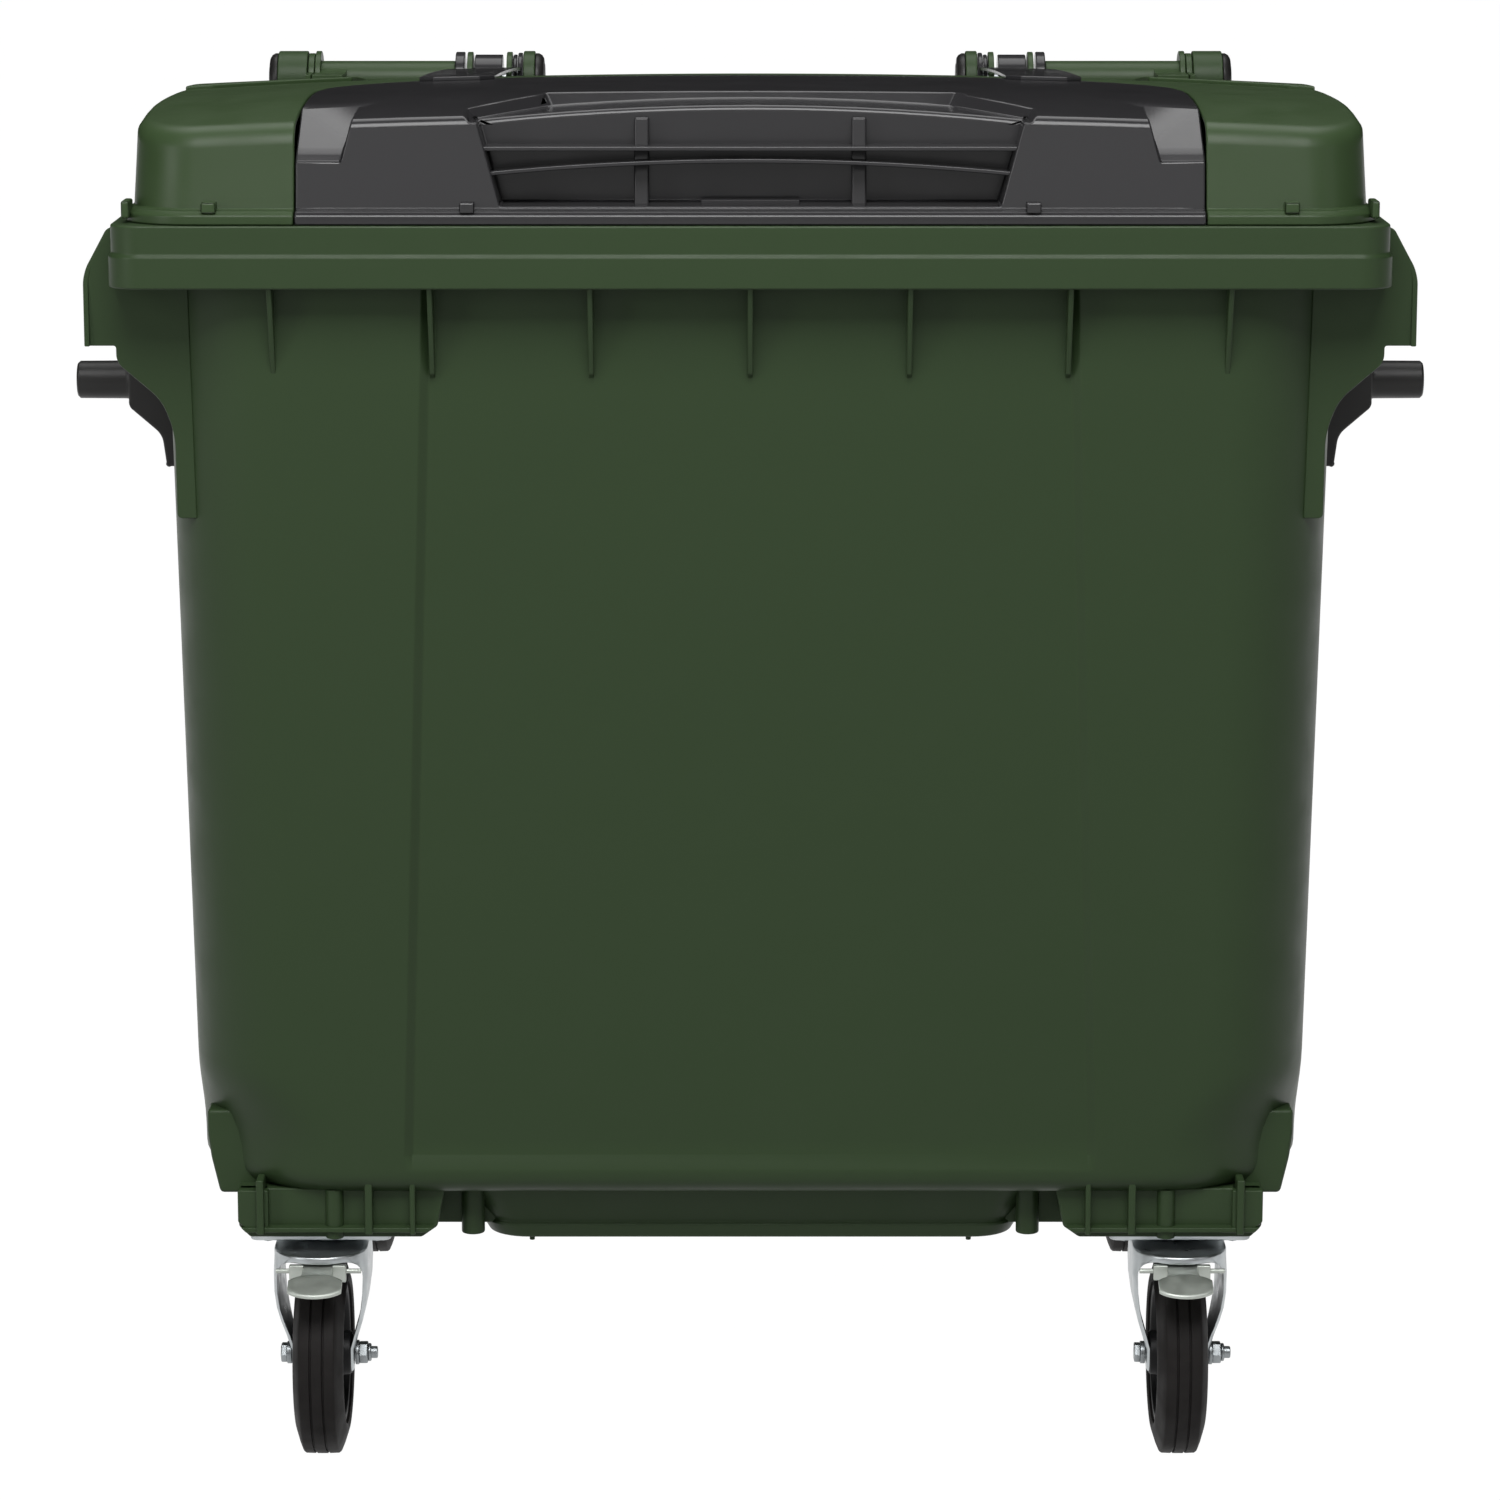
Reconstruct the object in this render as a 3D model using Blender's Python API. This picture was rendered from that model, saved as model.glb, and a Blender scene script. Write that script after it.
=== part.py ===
"""A four-wheeled waste container of about 1100 litres, with a small lid set into its main lid.

Metres. X runs to the right of someone who faces the front, Y to the back, and Z up. The
origin is on the ground, under the middle of the whole container.
"""
import math

import bmesh
import bpy
from mathutils import Matrix, Vector

# Overall sizes
overall_depth = 1.077
fit_gap = 0.0003
cut_overrun = 0.02

# Rim of the container
rim_width = 1.198
trunnion_stick_out = 0.0915
trunnion_span = rim_width + 2 * trunnion_stick_out
hinge_overhang = 0.076
rim_depth = overall_depth - hinge_overhang
rim_top = 1.234
rim_height = 0.0585
rim_step_height = 0.0295
rim_step = 0.0025
rim_edge = 0.003
rim_corner = 0.032
skirt_wall = 0.006

# Tub
wall = 0.006
castor_height = 0.2285
block_height = 0.0475
floor_height = castor_height + block_height
tub_side_gap = 0.083
tub_top_width = rim_width - tub_side_gap
tub_rim_gap = 0.060
tub_top_depth = rim_depth - tub_rim_gap
tub_taper_width = 0.023
tub_floor_width = tub_top_width - tub_taper_width
tub_taper_depth = 0.137
tub_floor_depth = tub_top_depth - tub_taper_depth
tub_corner = 0.105
tub_floor_corner = 0.150
corner_blend = 0.130
floor_edge = 0.024
panel_top_edge = 0.512
panel_top_width = tub_top_width - panel_top_edge
panel_edge = 0.420
panel_floor_width = tub_floor_width - panel_edge
panel_inset = 0.006
panel_step = 0.008

# Floor pan between the castor blocks
pan_drop = 0.054
pan_height = floor_height - pan_drop
pan_draft = 0.044
pan_edge_x = 0.500
pan_edge_y = 0.070
pan_top_width = tub_floor_width - pan_edge_x
pan_top_depth = tub_floor_depth - pan_edge_y
pan_width = pan_top_width - pan_draft
pan_depth = pan_top_depth - pan_draft
pan_corner = 0.040

# Ribs under the rim
rib_thickness = 0.005
rib_margin = 0.3022
rib_count = 7
rib_pitch = (rim_width - rib_margin) / (rib_count - 1)
rib_drop = 0.142

# Guards along both sides, with an upright plate at each end
guard_reach = 0.0290
guard_top_reach = 0.006
guard_bend_reach = 0.0164
guard_top_drop = 0.0085
guard_bend_drop = 0.0275
guard_knee_drop = 0.050
guard_foot_drop = 0.1191
guard_wall = 0.005
guard_end_gap = 0.127
guard_spread = rim_depth - guard_end_gap
end_plate_thickness = 0.006
end_plate_notch = 0.010
end_plate_waist_reach = 0.0417
end_plate_waist_drop = 0.1713
end_plate_root_drop = 0.1855
end_plate_slim_drop = 0.2028
end_plate_foot_drop = 0.2856
end_plate_inset = 0.0095

# Pads that carry the trunnions
pad_inset = 0.016
pad_reach = rim_width / 2 - pad_inset
pad_width = 0.180
pad_drop = 0.319
pad_foot = rim_top - pad_drop

# Trunnions
trunnion_drop = 0.203
trunnion_height = rim_top - trunnion_drop
trunnion_diameter = 0.0384
trunnion_shoulder_reach = 0.034
trunnion_shoulder = rim_width / 2 + trunnion_shoulder_reach
trunnion_width = 0.110
trunnion_below = 0.0827
trunnion_above = 0.051
trunnion_foot = trunnion_height - trunnion_below
trunnion_top = trunnion_height + trunnion_above
trunnion_plate = 0.0145
trunnion_chin = 0.022
trunnion_jaw = 0.0216
trunnion_knee = 0.0503

# Skids along both sides of the floor
skid_end_gap = 0.080
skid_length = tub_floor_depth - skid_end_gap
skid_width = 0.106
skid_inner = tub_floor_width / 2 - skid_width
skid_rise = 0.0765
skid_top = floor_height + skid_rise
skid_top_inset = 0.011
skid_top_reach = tub_floor_width / 2 - skid_top_inset
skid_bend_rise = 0.028
skid_bend = floor_height + skid_bend_rise
skid_bend_inset = 0.0142
skid_bend_reach = tub_floor_width / 2 - skid_bend_inset
skid_foot_drop = 0.0045
skid_foot = floor_height - skid_foot_drop
skid_foot_inset = 0.0225
skid_foot_reach = tub_floor_width / 2 - skid_foot_inset

# Castor blocks under the floor
block_inset = 0.0425
block_width = 0.2035
block_slope = 0.0235
block_outer = tub_floor_width / 2 - block_inset
block_inner = block_outer - block_width
block_inner_foot = block_inner + block_slope
block_chamfer = 0.011
block_end_gap = 0.006
block_depth = 0.141
block_front = tub_floor_depth / 2 - block_end_gap
block_back = block_front - block_depth
block_rib_reach = 0.006
block_rib_width = 0.009
block_rib_insets = (0.0225, 0.129, 0.172)
pocket_width = 0.084
pocket_depth = 0.056
pocket_roof = 0.008

# Castors
castor_inset_x = 0.243
castor_inset_y = 0.104
castor_spacing_x = tub_floor_width - castor_inset_x
castor_axle_spacing = tub_floor_depth - castor_inset_y
castor_trail = 0.038
plate_thickness = 0.007
plate_width = 0.139
plate_depth = 0.100
plate_corner = 0.012
race_radius = 0.0465
race_height = 0.013
running_gap = 0.0005
crown_radius = 0.0475
crown_thickness = 0.004
kingpin_radius = 0.009
kingpin_head_radius = 0.0125
kingpin_head = 0.0035
fork_wall = 0.004
fork_half_width = 0.0465
fork_foot_half_width = 0.034
fork_foot_radius = 0.017
fork_top_front = 0.095
fork_top_back = 0.038
fork_ear_foot = 0.176
fork_ear_front = 0.090
fork_ear_back = 0.030
fork_knee = 0.148
fork_knee_front = 0.070
fork_knee_back = 0.006
fork_knee_half_width = 0.0445
fork_ankle = 0.118
wheel_radius = 0.100
tyre_width = 0.050
tread_width = 0.033
tyre_shoulder = 0.0125
tyre_inner_radius = 0.070
hub_width = 0.057
hub_radius = 0.022
hub_rim = 0.008
web_width = 0.012
axle_radius = 0.006
axle_head_radius = 0.0088
axle_head_width = 0.0078
nut_width = 0.0115
stud_reach = 0.0535

# Plate bolts
bolt_radius = 0.005
bolt_head_radius = 0.0075
bolt_head = 0.006
bolt_grip = 0.024
bolt_spacing_x = 0.107
bolt_spacing_y = 0.072

# Brake pedals of the front castors
pedal_pivot_forward = 0.088
pedal_pivot_height = 0.199
pedal_bar_radius = 0.004
pedal_yoke_width = 0.054
pedal_yoke_foot = 0.188
pedal_yoke_top = 0.207
pedal_yoke_thickness = 0.005
pedal_neck_width = 0.030
pedal_neck_thickness = 0.004
pedal_width = 0.053
pedal_depth = 0.036
pedal_forward = 0.136
pedal_height = 0.191
pedal_thickness = 0.004

# Hinges
hinge_rise = 0.0682
hinge_height = rim_top + hinge_rise
barrel_radius = 0.032
hinge_side_gap = 0.0715
knuckle_gap = 0.0008
bracket_width = 0.012
shaft_radius = 0.012
shaft_reach = 0.004
cap_radius = 0.0295
cap_thickness = 0.0103
cap_round_shares = ((0.5, 0.97), (0.85, 0.86), (1, 0.7))
lid_tube_radius = 0.021
neck_drop = 0.010
neck_rise = 0.010
lid_ring_radius = 0.032
lid_edge_ring_radius = 0.0295
lid_disc_radius = 0.031
small_disc_radius = 0.031
small_barrel_radius = 0.028

# Places along each hinge line, from the side of the rim inwards
barrel_outer_width = 0.0332
barrel_inner_width = 0.0344
lid_edge_ring_width = 0.0077
lid_ring_gap = 0.0009
lid_ring_width = 0.0062
lid_arm_width = 0.0285
lid_tube_length = 0.1494
lid_disc_width = 0.0062
small_disc_width = 0.0103
small_barrel_width = 0.0311
disc_gap = 0.0028
barrel_gap = 0.0021
inner_barrel_gap = 0.0019
arm_inner_reach = 0.0188
arm_outer_reach = 0.0037
barrel_outer_end = rim_width / 2 - hinge_side_gap
barrel_outer_start = barrel_outer_end - barrel_outer_width
lid_edge_ring_start = barrel_outer_start - lid_edge_ring_width
lid_ring_end = lid_edge_ring_start - lid_ring_gap
lid_tube_end = lid_ring_end - lid_ring_width
lid_arm_start = lid_tube_end - lid_arm_width
lid_tube_start = lid_tube_end - lid_tube_length
small_disc_end = lid_tube_start - knuckle_gap
small_disc_start = small_disc_end - small_disc_width
lid_disc_end = small_disc_start - disc_gap
lid_disc_start = lid_disc_end - lid_disc_width
small_barrel_end = lid_disc_start - barrel_gap
small_barrel_start = small_barrel_end - small_barrel_width
barrel_inner_end = small_barrel_start - inner_barrel_gap
barrel_inner_start = barrel_inner_end - barrel_inner_width
arm_inner = small_barrel_start - arm_inner_reach
arm_outer = small_disc_end + arm_outer_reach

# Lids
lid_side_gap = 0.024
lid_width = rim_width - lid_side_gap
lid_front_gap = 0.0085
lid_back_gap = 0.0155
lid_corner = 0.055
lid_flange = 0.0094
lid_fillet = 0.0058
lid_ledge_side = 0.0075
lid_ledge_front = 0.013
lid_side_lean = 0.003
lid_lean = 0.0135
lid_round = 0.010
lid_wall = 0.005
lid_rise = 0.0996
lid_side_top = rim_top + lid_rise
lid_crown = 0.0156
lid_peak_forward = 0.300
lid_fall = 0.106
lid_front_fall = 0.0115
lid_front_curve = 0.190

# Small lid, its opening in the main lid and its arms
seam = 0.0015
opening_side_gap = 0.1627
opening_half_width = lid_width / 2 - opening_side_gap
opening_side_depth = 0.200
opening_depth = 0.450
opening_arm_gap = 0.007
opening_arm_side = arm_outer + opening_arm_gap
ledge_reach = 0.014
ledge_thickness = 0.005
ledge_gap = 0.0018
rail_depth = 0.038
rail_height = 0.0100
rail_end = 0.050
rail_setback = 0.026
arm_clear = 0.036
arm_thickness = 0.005
arm_lift = 0.001
arm_rise = 0.017
arm_root = 0.030

# Grip recess in the front of the small lid
recess_side_gap = 0.3366
recess_top_width = 2 * opening_half_width - recess_side_gap
recess_draft = 0.046
recess_floor_width = recess_top_width - recess_draft
recess_depth = 0.056
recess_rise = 0.017
recess_floor = rim_top + recess_rise
recess_rib_inset = 0.1313
recess_rib_x = recess_floor_width / 2 - recess_rib_inset
recess_rib_width = 0.014
recess_rib_depth = 0.030
slat_rise = 0.074
slat_height = rim_top + slat_rise
slat_thickness = 0.004
slat_setback = 0.014
arch_lift = 0.050
arch_height = rim_top + arch_lift
arch_rise = 0.013

# Drain plug in the floor pan
plug_radius = 0.025
plug_head_radius = 0.034
plug_head = 0.008
plug_grip_width = 0.010
plug_grip_height = 0.006
plug_stem = 0.020

# Colour, roughness and metallic value of each finish
green = ((0.034, 0.056, 0.026), 0.42, 0)
grey = ((0.042, 0.041, 0.043), 0.35, 0)
black = ((0.012, 0.011, 0.011), 0.45, 0)
steel = ((0.35, 0.38, 0.38), 0.38, 0.9)
rubber = ((0.020, 0.016, 0.015), 0.7, 0)

# Counts of flats and steps
round_steps = 20
small_steps = 10
wheel_steps = 24
corner_steps = 5
side_steps = 4
hex_steps = 6

# Where the rings of the lids' dome lie, from its edge to its middle
dome_shares = (0.11, 0.22, 0.36, 0.52, 0.7, 0.9)

# Places worked out from the sizes
rim_front_y = -overall_depth / 2
rim_back_y = rim_front_y + rim_depth
body_y = rim_front_y + rim_depth / 2
rim_half_x = rim_width / 2
rim_foot = rim_top - rim_height
flange_underside = rim_top - wall
hinge_y = overall_depth / 2 - barrel_radius * math.cos(math.pi / round_steps)
lid_foot = rim_top + fit_gap
lid_front_y = rim_front_y + lid_front_gap
lid_back = rim_back_y - lid_back_gap
opening_side_back = lid_front_y + opening_side_depth
opening_back = lid_front_y + opening_depth
kingpin_x = castor_spacing_x / 2
plate_underside = castor_height - plate_thickness
race_foot = plate_underside - race_height
crown_top = race_foot - running_gap
crown_foot = crown_top - crown_thickness
block_foot = castor_height + fit_gap


def clear_scene():
    for item in list(bpy.data.objects):
        bpy.data.objects.remove(item, do_unlink=True)


def make_material(name, colour, roughness, metallic):
    material = bpy.data.materials.new(name)
    material.use_nodes = True
    shader = material.node_tree.nodes["Principled BSDF"]
    shader.inputs["Base Color"].default_value = (*colour, 1)
    shader.inputs["Roughness"].default_value = roughness
    shader.inputs["Metallic"].default_value = metallic
    return material


def add_object(name, bm):
    bmesh.ops.recalc_face_normals(bm, faces=bm.faces[:])
    mesh = bpy.data.meshes.new(name)
    bm.to_mesh(mesh)
    bm.free()
    item = bpy.data.objects.new(name, mesh)
    bpy.context.scene.collection.objects.link(item)
    return item


def set_origin(item, point):
    """Move a piece's origin to a point, with its shape left in place."""
    item.data.transform(Matrix.Translation(-Vector(point)))
    item.location = point


def loft(rings, fanned=False):
    """A closed solid through rings of equally many points, each end one face or a fan of them."""
    bm = bmesh.new()
    loops = [[bm.verts.new(point) for point in ring] for ring in rings]
    for low, high in zip(loops, loops[1:]):
        for i, vert in enumerate(low):
            after = (i + 1) % len(low)
            bm.faces.new((vert, low[after], high[after], high[i]))
    for loop in (loops[0], loops[-1]):
        if not fanned:
            bm.faces.new(loop)
            continue
        middle = bm.verts.new(sum((v.co for v in loop), Vector()) / len(loop))
        for i, vert in enumerate(loop):
            bm.faces.new((vert, loop[(i + 1) % len(loop)], middle))
    bmesh.ops.connect_verts_nonplanar(bm, angle_limit=math.radians(0.01), faces=bm.faces[:])
    return bm


def prism(outline, axis, start, end):
    """An outline pushed along an axis: its points lie in the two other axes, in their order."""
    def place(point, along):
        spot = list(point)
        spot.insert(axis, along)
        return spot
    bm = bmesh.new()
    ends = [[bm.verts.new(place(point, along)) for point in outline] for along in (start, end)]
    bm.faces.new(ends[0])
    bm.faces.new(reversed(ends[1]))
    for i, vert in enumerate(ends[0]):
        after = (i + 1) % len(outline)
        bm.faces.new((vert, ends[0][after], ends[1][after], ends[1][i]))
    return bm


def box(low, high):
    return prism([(low[0], low[1]), (high[0], low[1]), (high[0], high[1]), (low[0], high[1])],
                 2, low[2], high[2])


def turned(profile, axis, centre, steps):
    """A closed outline of (distance along the axis, radius) turned about an axis.

    A radius of zero beside a larger one closes the shape there with a flat face.
    """
    bm = bmesh.new()
    first, second = [i for i in range(3) if i != axis]
    loops = []
    for along, radius in profile:
        loop = []
        for step in range(steps if radius else 0):
            angle = 2 * math.pi * (step + 0.5) / steps
            spot = Vector(centre)
            spot[axis] += along
            spot[first] += radius * math.cos(angle)
            spot[second] += radius * math.sin(angle)
            loop.append(bm.verts.new(spot))
        loops.append(loop)
    for low, high in zip(loops, loops[1:] + loops[:1]):
        if low and high:
            for step in range(steps):
                after = (step + 1) % steps
                bm.faces.new((low[step], low[after], high[after], high[step]))
        elif low or high:
            bm.faces.new(low or high)
    return bm


def rod(axis, centre, start, end, radius, steps=small_steps):
    return turned([(start, 0), (start, radius), (end, radius), (end, 0)], axis, centre, steps)


def combine(target, bm, operation):
    """Join a shape to an object, or take it away."""
    tool = add_object("tool", bm)
    modifier = target.modifiers.new("combine", "BOOLEAN")
    modifier.operation = operation
    modifier.object = tool
    modifier.solver = "EXACT"
    graph = bpy.context.evaluated_depsgraph_get()
    mesh = bpy.data.meshes.new_from_object(target.evaluated_get(graph))
    target.modifiers.clear()
    old = target.data
    target.data = mesh
    bpy.data.meshes.remove(old)
    bpy.data.objects.remove(tool, do_unlink=True)


def join(target, *shapes):
    for bm in shapes:
        combine(target, bm, "UNION")


def cut(target, *shapes):
    for bm in shapes:
        combine(target, bm, "DIFFERENCE")


def finish(item, look):
    """Give a piece its own material and smooth shading between its sharp edges."""
    item.data.materials.clear()
    item.data.materials.append(make_material(item.name, *look))
    item.data.shade_smooth()
    item.data.set_sharp_from_angle(angle=math.radians(35))
    return item


def arc(centre, radius, start, end, steps):
    """Points on an arc, with its angles in degrees."""
    return [(centre[0] + radius * math.cos(math.radians(start + (end - start) * i / steps)),
             centre[1] + radius * math.sin(math.radians(start + (end - start) * i / steps)))
            for i in range(steps + 1)]


def rounded_ring(half_x, front, back, corner, height, stations, side_points=0):
    """A rounded rectangle, anticlockwise from its front. Stations are (x, inset) on the front."""
    shares = [i / (side_points + 1) for i in range(1, side_points + 1)]
    left, right = -half_x + corner, half_x - corner
    near, far = front + corner, back - corner
    flat = [(x, front + inset) for x, inset in stations]
    flat += arc((right, near), corner, -90, 0, corner_steps)
    flat += [(half_x, near + (far - near) * share) for share in shares]
    flat += arc((right, far), corner, 0, 90, corner_steps)
    flat += [(x, back - inset) for x, inset in reversed(stations)]
    flat += arc((left, far), corner, 90, 180, corner_steps)
    flat += [(-half_x, far + (near - far) * share) for share in shares]
    flat += arc((left, near), corner, 180, 270, corner_steps)
    return [(x, y, height(x, y) if callable(height) else height) for x, y in flat]


def even_stations(half_x, corner):
    reach = half_x - corner
    return [(-reach + 2 * reach * i / side_steps, 0) for i in range(1, side_steps)]


def tub_share(height):
    return (height - floor_height) / (flange_underside - floor_height)


def tub_half(height):
    """Half width and half depth of the tub's outside at a height."""
    share = tub_share(height)
    half_x = (tub_floor_width + (tub_top_width - tub_floor_width) * share) / 2
    half_y = (tub_floor_depth + (tub_top_depth - tub_floor_depth) * share) / 2
    return half_x, half_y


def tub_ring(height, inset, corner, panel):
    half_x, half_y = tub_half(height)
    crease = (panel_floor_width + (panel_top_width - panel_floor_width) * tub_share(height)) / 2
    step = panel_step / 2
    stations = [(-crease - step, 0), (-crease + step, panel), (crease - step, panel),
                (crease + step, 0)]
    half_x, half_y = half_x - inset, half_y - inset
    return rounded_ring(half_x, body_y - half_y, body_y + half_y, corner - inset, height, stations)


def rim_ring(half_x, half_y, corner, height):
    crease, step = panel_top_width / 2, panel_step / 2
    stations = [(-crease - step, 0), (-crease + step, 0), (crease - step, 0), (crease + step, 0)]
    return rounded_ring(half_x, body_y - half_y, body_y + half_y, corner, height, stations)


def tub_rings(inset, floor, top):
    """Rings of the tub from its floor to its top, on the outside or, inset by a wall, inside."""
    edge = floor_edge - inset
    low = floor + edge
    side = math.sqrt(0.5)
    rings = []
    for lift, back in ((0, edge), (edge * (1 - side), edge * (1 - side)), (edge, 0)):
        half_x, half_y = tub_half(low)
        half_x, half_y = half_x - inset - back, half_y - inset - back
        crease, step = panel_floor_width / 2, panel_step / 2
        stations = [(-crease - step, 0), (-crease + step, 0), (crease - step, 0),
                    (crease + step, 0)]
        rings.append(rounded_ring(half_x, body_y - half_y, body_y + half_y,
                                  tub_floor_corner - inset - back, floor + lift, stations))
    rings.append(tub_ring(low + panel_step, inset, tub_floor_corner, panel_inset))
    rings.append(tub_ring(floor_height + corner_blend, inset, tub_corner, panel_inset))
    rings.append(tub_ring(top, inset, tub_corner, panel_inset))
    return rings


def outer_tub():
    half_y = rim_depth / 2
    rings = tub_rings(0, floor_height, flange_underside - 2 * wall)
    half = tub_half(flange_underside)
    rings.append(rim_ring(half[0], half[1], tub_corner, flange_underside))
    rings.append(rim_ring(rim_half_x - skirt_wall, half_y - skirt_wall, rim_corner - skirt_wall,
                          flange_underside))
    rings.append(rim_ring(rim_half_x - skirt_wall, half_y - skirt_wall, rim_corner - skirt_wall,
                          rim_foot))
    for back, height in ((0, rim_foot), (0, rim_foot + rim_step_height),
                         (rim_step, rim_foot + rim_step_height + rim_step),
                         (rim_step, rim_top - rim_edge), (rim_step + rim_edge, rim_top)):
        rings.append(rim_ring(rim_half_x - back, half_y - back, rim_corner - back, height))
    return loft(rings, fanned=True)


def pan(inset, top):
    rings = []
    for width, depth, height in ((pan_top_width, pan_top_depth, top),
                                 (pan_width, pan_depth, pan_height + inset)):
        half_x, half_y = width / 2 - inset, depth / 2 - inset
        corner = pan_corner - inset
        rings.append(rounded_ring(half_x, body_y - half_y, body_y + half_y, corner, height,
                                  even_stations(half_x, corner)))
    return loft(rings, fanned=True)


def cavity():
    top = rim_top + cut_overrun
    half_x, half_y = tub_half(flange_underside)
    rings = tub_rings(wall, floor_height + wall, flange_underside - 2 * wall)
    for height in (flange_underside, top):
        rings.append(rim_ring(half_x - wall, half_y - wall, tub_corner - wall, height))
    return loft(rings, fanned=True)


def rim_ribs():
    """Upright ribs between the tub and the rim's skirt, along the front and the back."""
    shapes = []
    foot = rim_top - rib_drop
    top = flange_underside + wall / 2
    skirt = rim_depth / 2 - skirt_wall / 2
    root = tub_half(foot)[1] - panel_inset - wall / 2
    outline = [(root, foot), (tub_half(foot)[1], foot), (skirt, rim_foot + skirt_wall),
               (skirt, top), (root, top)]
    for i in range(rib_count):
        x = (i - (rib_count - 1) / 2) * rib_pitch
        for side in (-1, 1):
            points = [(body_y + side * y, z) for y, z in outline]
            shapes.append(prism(points, 0, x - rib_thickness / 2, x + rib_thickness / 2))
    return shapes


def guard_outline():
    """Outer edge of a side guard, from the rim down, as (x, z)."""
    return [(rim_half_x + guard_top_reach, rim_top - guard_top_drop),
            (rim_half_x + guard_bend_reach, rim_top - guard_bend_drop),
            (rim_half_x + guard_reach, rim_top - guard_knee_drop),
            (rim_half_x + guard_reach, rim_top - guard_foot_drop)]


def side_guards():
    shapes = []
    edge = guard_outline()
    top = rim_top - 2 * rim_edge
    inner = [(x - guard_wall, min(z, top - 2 * guard_wall)) for x, z in reversed(edge)]
    strip = [(rim_half_x - skirt_wall / 2, top - rim_edge)]
    strip += [(x - fit_gap, z - fit_gap) for x, z in edge] + inner
    strip.append((rim_half_x - skirt_wall / 2, top - 2 * guard_wall))
    waist = rim_half_x - end_plate_waist_reach
    slim = tub_half(rim_top - end_plate_slim_drop)[0] - end_plate_inset
    root = tub_half(rim_top)[0] - tub_corner / 2
    plate = [(root, top), (rim_half_x, top)] + edge
    plate += [(rim_half_x, edge[-1][1]),
              (rim_half_x, edge[-1][1] - end_plate_notch),
              (rim_half_x - rim_edge, edge[-1][1] - 2 * end_plate_notch),
              (waist, rim_top - end_plate_waist_drop),
              (waist - end_plate_notch, rim_top - end_plate_root_drop),
              (slim, rim_top - end_plate_slim_drop),
              (slim, rim_top - end_plate_foot_drop),
              (root, rim_top - end_plate_foot_drop)]
    for side in (-1, 1):
        points = [(side * x, z) for x, z in strip]
        shapes.append(prism(points, 1, body_y - guard_spread / 2 + end_plate_thickness / 2,
                            body_y + guard_spread / 2 - end_plate_thickness / 2))
        points = [(side * x, z) for x, z in plate]
        for end in (-1, 1):
            outer = body_y + end * guard_spread / 2
            shapes.append(prism(points, 1, outer - end * end_plate_thickness, outer))
    return shapes


def trunnion_pads():
    shapes = []
    for side in (-1, 1):
        inner = tub_half(pad_foot)[0] - 2 * wall
        top = flange_underside + wall / 2
        outline = [(inner, pad_foot - wall), (pad_reach, pad_foot), (pad_reach, top), (inner, top)]
        points = [(side * x, z) for x, z in outline]
        shapes.append(prism(points, 1, body_y - pad_width / 2, body_y + pad_width / 2))
    return shapes


def skids():
    """Straight edges along both sides of the floor, under the tub's rounded foot."""
    shapes = []
    outline = [(skid_inner, skid_foot), (skid_foot_reach, skid_foot),
               (skid_bend_reach, skid_bend), (skid_top_reach, skid_top - floor_edge),
               (skid_top_reach, skid_top), (skid_inner, skid_top)]
    for side in (-1, 1):
        points = [(side * x, z) for x, z in outline]
        shapes.append(prism(points, 1, body_y - skid_length / 2, body_y + skid_length / 2))
    return shapes


def castor_blocks():
    shapes = []
    top = floor_height + wall / 2
    outline = [(block_inner, top), (block_inner_foot - 1.5 * block_chamfer, block_foot + block_chamfer),
               (block_inner_foot, block_foot), (block_outer - block_chamfer, block_foot),
               (block_outer, block_foot + block_chamfer), (block_outer, top)]
    for side in (-1, 1):
        for end in (-1, 1):
            points = [(side * x, z) for x, z in outline]
            shapes.append(prism(points, 1, body_y + end * block_back, body_y + end * block_front))
            near = body_y + end * (block_front - block_rib_reach)
            far = body_y + end * (block_front + block_rib_reach)
            low, high = min(near, far), max(near, far)
            for inset in block_rib_insets:
                left = side * (block_outer - inset) - block_rib_width / 2
                shapes.append(box((left, low, block_foot + fit_gap),
                                  (left + block_rib_width, high, top)))
    return shapes


def hinge_eyes():
    """Barrels of the body's four hinge eyes, with the bracket under each."""
    shapes = []
    low = rim_foot + skirt_wall
    outline = [(rim_back_y - skirt_wall / 2, low), (rim_back_y - skirt_wall / 2, rim_top - skirt_wall),
               (rim_back_y + rim_edge, rim_top - rim_edge),
               (hinge_y - barrel_radius * 0.9, rim_top + barrel_radius),
               (hinge_y - barrel_radius * 0.9, hinge_height),
               (hinge_y + barrel_radius * 0.9, hinge_height),
               (hinge_y + barrel_radius * 0.75, hinge_height - barrel_radius),
               (rim_back_y + rim_edge, low)]
    for side in (-1, 1):
        for start, end, width in ((barrel_inner_start, barrel_inner_end, bracket_width),
                                  (barrel_outer_start, barrel_outer_end, None)):
            left, right = sorted((side * start, side * end))
            shapes.append(rod(0, (0, hinge_y, hinge_height), left, right, barrel_radius,
                              round_steps))
            foot = start + width if width else end
            left, right = sorted((side * (start + rim_edge / 6), side * (foot - rim_edge / 6)))
            shapes.append(prism(outline, 0, left, right))
    return shapes


def castor_places():
    """Names and kingpin places of the four castors."""
    reach = castor_axle_spacing / 2 - castor_trail
    return [(end_name + "_" + side_name, side * kingpin_x, body_y + end * reach)
            for end_name, end in (("front", -1), ("back", 1))
            for side_name, side in (("left", -1), ("right", 1))]


def bolt_places(x, y):
    return [(x + i * bolt_spacing_x / 2, y + j * bolt_spacing_y / 2)
            for i in (-1, 1) for j in (-1, 1)]


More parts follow.
